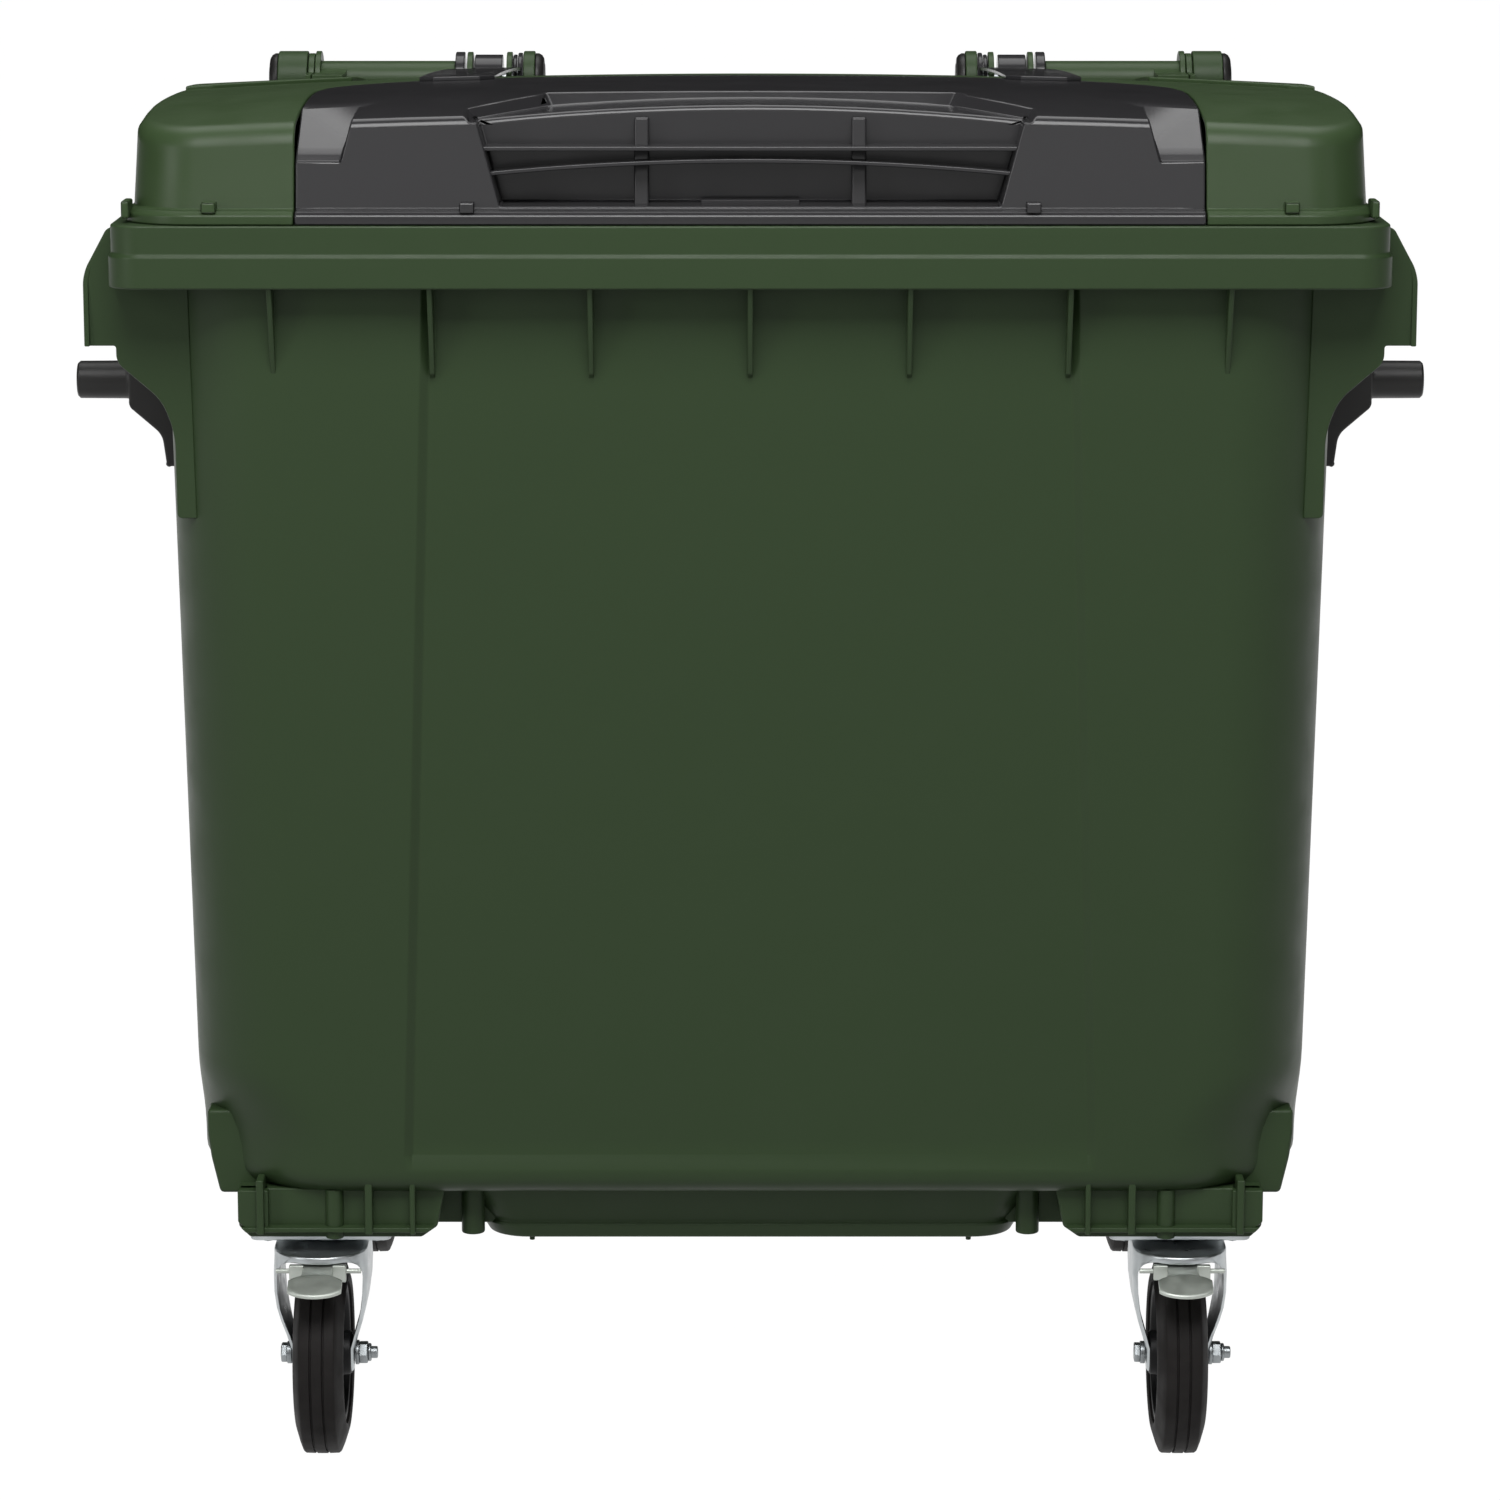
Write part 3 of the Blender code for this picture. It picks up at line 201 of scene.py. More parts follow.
def moulded_plastic(name, colour, roughness, mottle, rubbed, gloss=0.5, relief=0.10):
    """Polyethylene with a fine spark grain, a slow drift in colour and edges rubbed paler."""
    material, tree, shader, mapping = start_material(name)
    drift = noise(tree, mapping, 3.5, 3)
    base = blend(tree, drift, scaled(colour, 1 - mottle), scaled(colour, 1 + mottle))
    edge = tree.nodes.new("ShaderNodeNewGeometry").outputs["Pointiness"]
    worn = combined(tree, "MULTIPLY", spread(tree, edge, 0, rubbed, 0.56, 0.68),
                    spread(tree, noise(tree, mapping, 30, 4), 0.4, 1))
    tree.links.new(blend(tree, worn, base, scaled(colour, 1.6)), shader.inputs["Base Color"])
    patches = spread(tree, noise(tree, mapping, 22, 4), roughness * 0.88, roughness * 1.12)
    tree.links.new(patches, shader.inputs["Roughness"])
    shader.inputs["Specular IOR Level"].default_value = gloss
    bump(tree, shader, noise(tree, mapping, 1400, 2), relief, 0.0004)
    return material


def zinc_plate(name, colour, roughness):
    """Bright zinc on pressed steel: a faint cloudy bloom and drawn streaks."""
    material, tree, shader, mapping = start_material(name)
    shader.inputs["Metallic"].default_value = 1
    bloom = noise(tree, mapping, 45, 4, 0.6)
    cloudy = blend(tree, bloom, scaled(colour, 0.72), colour)
    edge = tree.nodes.new("ShaderNodeNewGeometry").outputs["Pointiness"]
    bright = blend(tree, spread(tree, edge, 0, 0.35, 0.52, 0.62), cloudy, scaled(colour, 1.2))
    tree.links.new(bright, shader.inputs["Base Color"])
    streaks = tree.nodes.new("ShaderNodeMapping")
    streaks.inputs["Scale"].default_value = (1, 1, 0.08)
    tree.links.new(mapping.outputs["Vector"], streaks.inputs["Vector"])
    fine = noise(tree, streaks, 900, 2)
    tree.links.new(spread(tree, noise(tree, mapping, 70, 3), roughness - 0.07, roughness + 0.1),
                   shader.inputs["Roughness"])
    bump(tree, shader, fine, 0.08, 0.0003)
    return material


def tyre_rubber(name, colour):
    """Solid rubber, matt, with moulding bloom and road dust in its pores."""
    material, tree, shader, mapping = start_material(name)
    dust = spread(tree, noise(tree, mapping, 60, 5, 0.65), 0, 0.5, 0.45, 0.75)
    tree.links.new(blend(tree, dust, colour, scaled(colour, 1.8)), shader.inputs["Base Color"])
    tree.links.new(spread(tree, noise(tree, mapping, 35, 3), 0.6, 0.78), shader.inputs["Roughness"])
    shader.inputs["Specular IOR Level"].default_value = 0.2
    bump(tree, shader, noise(tree, mapping, 500, 3), 0.2, 0.0006)
    return material


body_green = moulded_plastic("container green", (0.0285, 0.0500, 0.0205), 0.42, 0.04, 0.4, 0.18)
lid_green = moulded_plastic("main lid green", (0.0310, 0.0540, 0.0215), 0.38, 0.04, 0.4, 0.20)
lid_grey = moulded_plastic("small lid grey", (0.0240, 0.0235, 0.0250), 0.19, 0.04, 0.2, 0.35, 0.04)
pin_black = moulded_plastic("lifting pin black", (0.0120, 0.0115, 0.0110), 0.40, 0.08, 0.4, 0.30)
hub_black = moulded_plastic("wheel hub black", (0.0060, 0.0060, 0.0065), 0.50, 0.06, 0.2, 0.20)
zinc = zinc_plate("castor zinc", (0.50, 0.53, 0.54), 0.34)
bolt_zinc = zinc_plate("bolt zinc", (0.30, 0.32, 0.33), 0.38)
pedal_zinc = zinc_plate("pedal zinc", (0.50, 0.53, 0.49), 0.55)
rubber = tyre_rubber("tyre rubber", (0.0085, 0.0072, 0.0068))


# Ways of shaping

def ring(bm, corners, radius, storey, steps, cuts=0):
    """Draw an outline at a storey's height, round its marked corners, and give back its edges."""
    verts = [bm.verts.new((x, y, 0)) for x, y, _ in corners]
    bm.faces.new(verts)
    rounded = [vert for vert, corner in zip(verts, corners) if corner[2]]
    bmesh.ops.bevel(bm, geom=rounded, offset=radius, offset_type="OFFSET", segments=steps,
                    profile=0.5, affect="VERTICES", material=-1)
    bm.faces.ensure_lookup_table()
    face = bm.faces[0]
    if cuts:
        step = 3 * radius / steps
        long_ones = [edge for edge in face.edges if edge.calc_length() > step]
        bmesh.ops.subdivide_edges(bm, edges=long_ones, cuts=cuts)
        bm.faces.ensure_lookup_table()
        face = bm.faces[0]
    for vert in face.verts:
        vert.co.z = storey
    edges = list(face.edges)
    bmesh.ops.delete(bm, geom=[face], context="FACES_ONLY")
    return edges


def tidy(bm):
    bmesh.ops.remove_doubles(bm, verts=bm.verts[:], dist=0.00001)
    bmesh.ops.recalc_face_normals(bm, faces=bm.faces[:])
    return bm


def stack(sections):
    """A skin through rounded outlines, from the first to the last, with both ends filled.

    The outlines are bridged a storey apart, so that none is joined askew, and then set to height.
    """
    bm = bmesh.new()
    loops, heights = [], []
    for storey, (corners, radius, height, *steps) in enumerate(sections):
        loops.append(ring(bm, corners, radius, storey, *steps))
        heights.append(height)
    for low, high in zip(loops, loops[1:]):
        bmesh.ops.bridge_loops(bm, edges=low + high)
    for loop in (loops[0], loops[-1]):
        bmesh.ops.contextual_create(bm, geom=loop)
    for vert in bm.verts:
        height = heights[round(vert.co.z)]
        vert.co.z = height(vert.co.x, vert.co.y) if callable(height) else height
    return tidy(bm)


def slab(outline, axis, start, end, edge=0.0, segments=2):
    """An outline drawn in the two other axes, pushed out to a thickness, with soft edges.

    A third number in a point is the radius of that corner.
    """
    bm = bmesh.new()
    verts = []
    for point in outline:
        spot = list(point[:2])
        spot.insert(axis, start)
        verts.append(bm.verts.new(spot))
    bm.faces.new(verts)
    radii = sorted({point[2] for point in outline if len(point) > 2})
    corners = [[vert for vert, point in zip(verts, outline) if point[2:] == (radius,)]
               for radius in radii]
    for radius, bent in zip(radii, corners):
        bmesh.ops.bevel(bm, geom=bent, offset=radius * 0.7, offset_type="OFFSET", segments=6,
                        profile=0.5, affect="VERTICES", material=-1)
    bm.faces.ensure_lookup_table()
    face = bm.faces[0]
    made = bmesh.ops.extrude_face_region(bm, geom=[face])
    push = Vector()
    push[axis] = end - start
    bmesh.ops.translate(bm, vec=push, verts=[v for v in made["geom"]
                                             if isinstance(v, bmesh.types.BMVert)])
    tidy(bm)
    if edge:
        bmesh.ops.bevel(bm, geom=bm.edges[:], offset=edge, segments=segments, profile=0.5,
                        affect="EDGES", material=-1)
    return bm


def block(low, high, edge=0.0, segments=2):
    return slab([(low[0], low[1]), (high[0], low[1]), (high[0], high[1]), (low[0], high[1])], 2,
                low[2], high[2], edge, segments)


def sliced(bm, axis, places):
    """Cut a shape across an axis at each place, so that it can bend there."""
    way = Vector()
    way[axis] = 1
    for place in places:
        bmesh.ops.bisect_plane(bm, geom=bm.verts[:] + bm.edges[:] + bm.faces[:], dist=0.00001,
                               plane_co=way * place, plane_no=way)


def spaced(half, count):
    """Evenly spaced places, with this count on each side of zero."""
    return [half * (step / count - 1) for step in range(1, 2 * count)]


def upright(axis):
    """The turn that lays Z along an axis."""
    if axis == 0:
        return Matrix.Rotation(math.pi / 2, 4, "Y")
    if axis == 1:
        return Matrix.Rotation(-math.pi / 2, 4, "X")
    return Matrix.Identity(4)


def rod(axis, centre, start, end, radius, edge=0.0, steps=40):
    """A round bar along an axis, its two end edges softened."""
    spot = Vector(centre)
    spot[axis] += (start + end) / 2
    bm = bmesh.new()
    bmesh.ops.create_cone(bm, cap_ends=True, segments=steps, radius1=radius, radius2=radius,
                          depth=abs(end - start),
                          matrix=Matrix.Translation(spot) @ upright(axis))
    if edge:
        rims = [e for e in bm.edges if any(len(f.verts) > 4 for f in e.link_faces)]
        bmesh.ops.bevel(bm, geom=rims, offset=edge, segments=2, profile=0.5, affect="EDGES",
                        material=-1)
    return tidy(bm)


def turned(profile, axis, centre, steps=48):
    """A closed outline of (distance along the axis, radius), spun about the axis."""
    bm = bmesh.new()
    second = (axis + 1) % 3
    verts = []
    for along, radius in profile:
        spot = Vector(centre)
        spot[axis] += along
        spot[second] += radius
        verts.append(bm.verts.new(spot))
    lines = [bm.edges.new((a, b)) for a, b in zip(verts, verts[1:] + verts[:1])]
    line = Vector()
    line[axis] = 1
    bmesh.ops.spin(bm, geom=verts + lines, cent=centre, axis=line, angle=2 * math.pi,
                   steps=steps, use_merge=True)
    bmesh.ops.dissolve_degenerate(bm, dist=0.000001, edges=bm.edges[:])
    return tidy(bm)


def gather(shapes):
    """Several shapes in one mesh."""
    whole = bmesh.new()
    for shape in shapes:
        mesh = bpy.data.meshes.new("shape")
        shape.to_mesh(mesh)
        shape.free()
        whole.from_mesh(mesh)
        bpy.data.meshes.remove(mesh)
    return whole


def mirrored(side, outline):
    """An outline for the right side, or turned over for the left."""
    return [(side * point[0], *point[1:]) for point in outline]


def across(side, start, end):
    return sorted((side * start, side * end))


def piece(name, bm, body, material, stands_for=(), soft=0.0, angle=30, segments=2):
    """Make the mesh an object that rides on a body, with soft edges where it is sharp."""
    mesh = bpy.data.meshes.new(name)
    bm.to_mesh(mesh)
    bm.free()
    mesh.materials.append(material)
    mesh.shade_smooth()
    item = bpy.data.objects.new(name, mesh)
    bpy.context.scene.collection.objects.link(item)
    if soft:
        edges = item.modifiers.new("soft edges", "BEVEL")
        edges.limit_method = "ANGLE"
        edges.angle_limit = math.radians(angle)
        edges.width = soft
        edges.segments = segments
        edges.use_clamp_overlap = False
        edges.miter_outer = "MITER_ARC"
    shading = item.modifiers.new("even shading", "WEIGHTED_NORMAL")
    shading.keep_sharp = True
    mesh.set_sharp_from_angle(angle=math.radians(50))
    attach(item, body)
    if stands_for:
        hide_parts(*stands_for)
    return item


def carve(item, bm, operation):
    """Take a shape away from a piece, join it on, or keep what they share."""
    mesh = bpy.data.meshes.new("cutter")
    bm.to_mesh(mesh)
    bm.free()
    cutter = bpy.data.objects.new("cutter", mesh)
    bpy.context.scene.collection.objects.link(cutter)
    change = item.modifiers.new("carve", "BOOLEAN")
    change.operation = operation
    change.object = cutter
    change.solver = "EXACT"
    graph = bpy.context.evaluated_depsgraph_get()
    result = bpy.data.meshes.new_from_object(item.evaluated_get(graph))
    item.modifiers.clear()
    old = item.data
    item.data = result
    bpy.data.meshes.remove(old)
    bpy.data.objects.remove(cutter, do_unlink=True)
    bpy.data.meshes.remove(mesh)


def carved(bm, *changes):
    """A bmesh after a row of (shape, operation) changes."""
    mesh = bpy.data.meshes.new("blank")
    bm.to_mesh(mesh)
    bm.free()
    item = bpy.data.objects.new("blank", mesh)
    bpy.context.scene.collection.objects.link(item)
    for shape, operation in changes:
        carve(item, shape, operation)
    result = bmesh.new()
    result.from_mesh(item.data)
    mesh = item.data
    bpy.data.objects.remove(item, do_unlink=True)
    bpy.data.meshes.remove(mesh)
    return result


# Container body

def tub_share(z):
    return (z - floor_z) / (flange_under - floor_z)


def tub_half(z):
    share = tub_share(z)
    return [foot + (top - foot) * share for top, foot in zip(tub_top_half, tub_foot_half)]


def tub_section(half_x, half_y, corner, z, crease, depth):
    """A rounded outline with the flat front and back panels set in between their creases."""
    corners = []
    for end in (-1, 1):
        row = [(-half_x, end * half_y, True), (-crease - crease_slope, end * half_y, False),
               (-crease + crease_slope, end * (half_y - depth), False),
               (crease - crease_slope, end * (half_y - depth), False),
               (crease + crease_slope, end * half_y, False), (half_x, end * half_y, True)]
        corners += row if end < 0 else row[::-1]
    return [(x, y + body_y, rounded) for x, y, rounded in corners], corner, z, 10


def crease_at(z):
    return crease_foot + (crease_top - crease_foot) * tub_share(z)


def tub_wall(inset):
    """Sections from the floor to just under the rim, outside or a wall further in."""
    sections = []
    roll = foot_roll - inset
    floor = floor_z + inset
    low = floor + roll
    half_x, half_y = tub_half(low)
    for step in range(7):
        turn = math.radians(15 * step)
        back = roll * (1 - math.sin(turn)) + inset
        sections.append(tub_section(half_x - back, half_y - back, tub_foot_corner - back,
                                    floor + roll * (1 - math.cos(turn)), crease_foot, 0))
    for z in (low + 0.004, low + 0.018):
        half_x, half_y = tub_half(z)
        depth = crease_depth if z > low + 0.01 else 0.0
        sections.append(tub_section(half_x - inset, half_y - inset, tub_foot_corner - inset, z,
                                    crease_at(z), depth))
    rises = 6
    for step in range(1, rises + 1):
        share = step / rises
        z = low + 0.018 + (floor_z + corner_blend - low - 0.018) * share
        ease = share * share * (3 - 2 * share)
        corner = tub_foot_corner + (tub_corner - tub_foot_corner) * ease
        half_x, half_y = tub_half(z)
        sections.append(tub_section(half_x - inset, half_y - inset, corner - inset, z,
                                    crease_at(z), crease_depth))
    for z in (0.6, 0.8, 1.0, 1.15, flange_under - 0.012):
        half_x, half_y = tub_half(z)
        sections.append(tub_section(half_x - inset, half_y - inset, tub_corner - inset, z,
                                    crease_at(z), crease_depth))
    return sections


def rim_section(half_x, half_y, corner, z):
    return tub_section(half_x, half_y, corner, z, crease_top, 0)


def pan_section(half, inset, z):
    return tub_section(half[0] - inset, half[1] - inset, pan_corner - inset, z,
                       half[0] - 2 * pan_corner, 0)


def tub():
    """The tub and its rim as one wall: up the outside, over the rim and down the inside."""
    top_x, top_y = tub_half(flange_under)
    share = pan_band / (floor_z - pan_z)
    band = [foot + (top - foot) * share for top, foot in zip(pan_top_half, pan_half)]
    sections = [pan_section(pan_half, 0, pan_z), pan_section(band, 0, pan_z + pan_band),
                pan_section(band, 0.0035, pan_z + pan_band + 0.0025),
                pan_section(pan_top_half, 0.0035, floor_z)]
    sections += tub_wall(0)
    sections.append(rim_section(top_x, top_y, tub_corner, flange_under))
    inner = (rim_half_x - skirt_wall, rim_half_y - skirt_wall, rim_corner - skirt_wall)
    sections += [rim_section(*inner, flange_under), rim_section(*inner, rim_foot)]
    for back, z in ((0, rim_foot), (0, rim_line), (rim_step, rim_line + rim_step),
                    (rim_step, rim_top)):
        sections.append(rim_section(rim_half_x - back, rim_half_y - back, rim_corner - back, z))
    sections.append(rim_section(top_x - wall, top_y - wall, tub_corner - wall, rim_top))
    sections += reversed(tub_wall(wall))
    sections += [pan_section(pan_top_half, wall, floor_z + wall),
                 pan_section(pan_half, wall, pan_z + wall)]
    return stack(sections)


def rim_ribs():
    pitch, thickness, count = 0.1493, 0.005, 7
    foot = rim_top - 0.142
    root = tub_half(foot)[1] - crease_depth - wall / 2
    root_top = tub_half(flange_under)[1] - crease_depth - wall / 2
    skirt = rim_half_y - skirt_wall / 2
    outline = [(root, foot - 0.006), (tub_half(foot)[1], foot), (skirt, rim_foot + 0.006),
               (skirt, flange_under + 0.002), (root_top, flange_under + 0.002)]
    shapes = []
    for number in range(count):
        x = (number - (count - 1) / 2) * pitch
        for end in (-1, 1):
            points = [(body_y + end * y, z) for y, z in outline]
            shapes.append(slab(points, 0, x - thickness / 2, x + thickness / 2, 0.0012))
    return gather(shapes)


def end_plate(points, end, near, far, edge, segments=2):
    """A plate that faces the front (-1) or the back (1), between two distances from the middle."""
    start, finish = across(end, near, far)
    return slab(points, 1, body_y + start, body_y + finish, edge, segments)


def side_guards():
    """Grip guards along both sides: a bent strip with an upright plate at each end."""
    spread_half, plate_thickness, guard_wall = 0.437, 0.006, 0.005
    top = rim_top - 0.006
    edge = [(rim_half_x + 0.006, rim_top - 0.0085, 0.004),
            (rim_half_x + 0.0164, rim_top - 0.0275, 0.012),
            (rim_half_x + 0.0290, rim_top - 0.050, 0.015), (rim_half_x + 0.0290, rim_top - 0.1191)]
    inner = [(point[0] - guard_wall, min(point[1], top - 2 * guard_wall)) + point[2:]
             for point in reversed(edge)]
    strip = [(rim_half_x - 0.003, top - 0.003)] + edge + inner
    strip.append((rim_half_x - 0.003, top - 2 * guard_wall))
    waist = rim_half_x - 0.0417
    slim = tub_half(rim_top - 0.2028)[0] - 0.0095
    round_off = spread_half - plate_thickness / 2 - tub_top_half[1] + tub_corner
    embed = tub_corner - math.sqrt(tub_corner ** 2 - round_off ** 2) + wall / 3
    foot = rim_top - 0.2856
    plate = [(tub_half(top)[0] - embed, top), (rim_half_x, top)] + edge
    plate[-1] = (*plate[-1][:2], 0.004)
    plate += [(rim_half_x, edge[-1][1], 0.003), (rim_half_x, edge[-1][1] - 0.016, 0.010),
              (waist, rim_top - 0.1713, 0.016), (slim, rim_top - 0.2028, 0.020),
              (slim, foot, 0.007), (tub_half(foot)[0] - embed, foot)]
    shapes = []
    for side in (-1, 1):
        shapes.append(slab(mirrored(side, strip), 1, body_y - spread_half + plate_thickness / 2,
                           body_y + spread_half - plate_thickness / 2, 0.001))
        for end in (-1, 1):
            upright_plate = end_plate(mirrored(side, plate), end, spread_half - plate_thickness,
                                      spread_half, 0.0015, 3)
            for vert in upright_plate.verts:
                vert.co.y -= end * (tub_half(rim_top)[1] - tub_half(vert.co.z)[1])
            shapes.append(upright_plate)
    return gather(shapes)


def trunnion_pads():
    foot, reach, half = rim_top - 0.319, 0.583, 0.090
    inner, inner_top = tub_half(foot)[0] - wall / 2, tub_half(flange_under)[0] - wall / 2
    outline = [(inner, foot - wall), (reach, foot), (reach, flange_under),
               (inner_top, flange_under)]
    rib = [(inner, foot - 0.050), (inner + 0.012, foot - 0.050), (reach - 0.004, foot),
           (inner, foot)]
    rib_half = 0.0025
    shapes = []
    for side in (-1, 1):
        shapes.append(slab(mirrored(side, outline), 1, body_y - half, body_y + half, 0.003, 3))
        for y in (-half + 0.010, half - 0.010):
            shapes.append(slab(mirrored(side, rib), 1, body_y + y - rib_half,
                               body_y + y + rib_half, 0.001))
    return gather(shapes)


def skids():
    half = 0.362
    outline = [(0.440, floor_z - 0.0082), (0.5235, floor_z - 0.0082), (0.5318, floor_z + 0.028),
               (0.5350, floor_z + 0.0525), (0.5350, floor_z + 0.0765), (0.440, floor_z + 0.0765)]
    shapes = []
    for side in (-1, 1):
        skid = slab(mirrored(side, outline), 1, body_y - half, body_y + half, 0.004, 3)
        shapes.append(carved(skid, (stack(tub_wall(wall / 2)), "DIFFERENCE")))
    return gather(shapes)


def castor_blocks():
    """The four castor feet: a flange on the castor, set-back walls and upright ribs."""
    inner, outer, chamfer = 0.300, 0.5035, 0.011
    back, front = 0.255, 0.396
    top = floor_z + 0.003
    foot = block_foot + 0.0003
    recess = 0.012
    outline = [(inner, top), (inner + 0.008, foot + chamfer), (inner + 0.0235, foot),
               (outer - chamfer, foot), (outer, foot + chamfer), (outer, top)]
    ribs = ((0.481, 0.0075), (0.3745, 0.0075), (0.3315, 0.0055))
    lip = foot + 0.0077
    flange = [(inner + 0.0175, lip), (outer - 0.008, lip), (outer - 0.003, lip + 0.005),
              (inner + 0.011, lip + 0.005)]
    cheek = [(outer - 0.030, lip + 0.001), (outer - 0.010, lip + 0.001), (outer, lip + 0.010),
             (outer, top), (outer - 0.030, top)]
    inside = front - recess - 0.010
    shapes = []
    for side in (-1, 1):
        for end in (-1, 1):
            shapes.append(end_plate(mirrored(side, outline), end, back, front - recess, 0.002))
            shapes.append(end_plate(mirrored(side, flange), end, inside, front, 0.001))
            start, finish = across(end, inside, front + 0.004)
            for x, width in ribs:
                left, right = across(side, x - width / 2, x + width / 2)
                shapes.append(block((left, body_y + start, lip - 0.001),
                                    (right, body_y + finish, top + 0.012), 0.0015))
            shapes.append(end_plate(mirrored(side, cheek), end, inside, front - 0.003, 0.0015))
            shapes.append(rod(2, (side * 0.409, body_y + end * (front - recess), 0), foot, top,
                              0.009, 0.001, 24))
    return gather(shapes)


def floor_details():
    """Bosses, webs and moulding pips on the belly under the tub."""
    web = [(0.250, floor_z + 0.003), (0.330, floor_z + 0.003), (0.3155, floor_z - 0.0445),
           (0.250, floor_z - 0.0445)]
    shapes = []
    for side in (-1, 1):
        for end in (-1, 1):
            shapes.append(rod(2, (side * 0.2745, body_y + end * 0.350, 0), pan_z + 0.006,
                              floor_z + 0.002, 0.0115, 0.0015, 28))
        shapes.append(rod(2, (side * 0.2165, body_y - pan_half[1] + 0.006, 0), pan_z - 0.004,
                          pan_z + 0.004, 0.0026, 0.0006, 16))
        for end in (-1, 1):
            shapes.append(end_plate(mirrored(side, web), end, 0.325, 0.340, 0.001))
    for x in (-0.18, -0.06, 0.06, 0.18):
        shapes.append(block((x - 0.003, body_y - pan_half[1] + 0.04, pan_z - 0.004),
                            (x + 0.003, body_y + pan_half[1] - 0.04, pan_z + 0.004), 0.001))
    return gather(shapes)


def hinge_brackets():
    radius = 0.032
    low = rim_foot + 0.006
    rim_back = body_y + rim_half_y
    outline = [(rim_back - 0.003, low), (rim_back - 0.003, rim_top - 0.006),
               (rim_back + 0.003, rim_top - 0.003),
               (hinge_y - radius * 0.92, hinge_z - radius * 0.55),
               (hinge_y - radius * 0.98, hinge_z), (hinge_y + radius * 0.98, hinge_z),
               (hinge_y + radius * 0.75, hinge_z - radius), (rim_back + 0.003, low)]
    shapes = []
    for side in (-1, 1):
        for start, end, foot in ((0.2405, 0.2535, 0.2530), (0.4943, 0.5275, 0.5275)):
            left, right = across(side, start, end)
            shapes.append(rod(0, (0, hinge_y, hinge_z), left, right, radius, 0.0015, 48))
            left, right = across(side, start + 0.0005, foot - 0.0005)
            shapes.append(slab(outline, 0, left, right, 0.001))
    return gather(shapes)


container_pieces = (
    ("tub", tub, 0.0016, 24),
    ("rim_ribs", rim_ribs, 0, 30),
    ("side_guards", side_guards, 0, 30),
    ("trunnion_pads", trunnion_pads, 0, 30),
    ("skids", skids, 0, 30),
    ("castor_blocks", castor_blocks, 0, 30),
    ("floor_details", floor_details, 0, 30),
    ("hinge_brackets", hinge_brackets, 0, 30),
)
for name, make, soft, angle in container_pieces:
    stands = ("container_body",) if name == "tub" else ()
    piece(name, make(), "container", body_green, stands, soft, angle)


# Lids

def lid_top(x, y, front_fall=lid_front_fall):
    """Height of the lids' upper surface, which drops away a little more towards the front."""
    ahead = max(lid_peak - y, 0) / lid_front_curve
    side = lid_side_top - lid_fall * ((y - lid_peak) / lid_span) ** 2 - front_fall * ahead ** 2
    return side + lid_crown * (1 - (x / lid_half_x) ** 2)


def lid_section(side, near, height):
    left, right = -lid_half_x + side, lid_half_x - side
    front, back = lid_front + near, lid_back - side
    corners = [(left, front, True), (right, front, True), (right, back, True), (left, back, True)]
    return corners, max(lid_corner - side / 2, 0.004), height, 8, 15


def dome(inset, front_round, front_fall):
    """The form that both lids share, outside or a wall further in."""
    sections = []
    if not inset:
        sections = [lid_section(0, 0, lid_foot), lid_section(0, 0, lid_foot + lid_flange),
                    lid_section(lid_fillet, lid_fillet, lid_foot + lid_flange + lid_fillet)]
    low = lid_foot - 0.02 if inset else lid_foot + lid_flange + lid_fillet + 0.0006
    sections.append(lid_section(ledge_side + inset, ledge_front + inset, low))
    side = ledge_side + side_lean + inset
    near = ledge_front + front_lean + inset

    def height(x, y, lift):
        ahead = min(max((lid_front + lid_corner + front_round - y) / lid_corner, 0), 1)
        bend = lid_round + (front_round - lid_round) * ahead
        return lid_top(x, y, front_fall) - bend * lift - inset

    for step in range(7):
        turn = math.radians(15 * step)
        back = 1 - math.cos(turn)
        sections.append(lid_section(side + lid_round * back, near + front_round * back,
                                    lambda x, y, lift=1 - math.sin(turn): height(x, y, lift)))
    depth = (lid_back - lid_front) / 2 - near
    for share in (0.06, 0.12, 0.2, 0.28, 0.45, 0.62, 0.8, 0.95):
        sections.append(lid_section(side + lid_round + share * (depth - lid_round),
                                    near + front_round + share * (depth - front_round),
                                    lambda x, y: height(x, y, 0)))
    return stack(sections)


def seam_outline(margin):
    """The small lid's plan, made smaller by a margin, with its rear corners rounded."""
    half, shoulder = seam_half - margin, 0.318 - margin
    front = lid_front - 0.03
    curve = [(half, -0.330), (half - 0.0008, -0.270 - margin / 2), (half - 0.0090, -0.212 - margin),
             (half - 0.0300, -0.172 - margin), (half - 0.0620, -0.140 - margin),
             (shoulder, -0.106 - margin), (0.300 - margin, -0.080 - margin)]
    right = [(half, front)] + curve
    return right + [(-x, y) for x, y in reversed(right)]


def drape(bm, pitch=0.03, surface=lid_top):
    """Cut a flat shape into a grid and lay it on the lids' upper surface."""
    for axis in (0, 1):
        spots = [vert.co[axis] for vert in bm.verts]
        start, length = min(spots), max(spots) - min(spots)
        count = int(length / pitch)
        sliced(bm, axis, [start + length * step / (count + 1) for step in range(1, count + 1)])
    for vert in bm.verts:
        vert.co.z += surface(vert.co.x, vert.co.y)
    return bm


def knuckle(side, start, end, radius, edge=0.001):
    left, right = across(side, start, end)
    return rod(0, (0, hinge_y, hinge_z), left, right, radius, edge, 48)


def front_knob(side, start, end):
    """The little stop on the lids' front ledge."""
    left, right = across(side, start, end)
    front = lid_front - 0.001
    return block((left, front, lid_foot + 0.0110), (right, front + 0.020, lid_foot + 0.0214),
                 0.0020, 3)


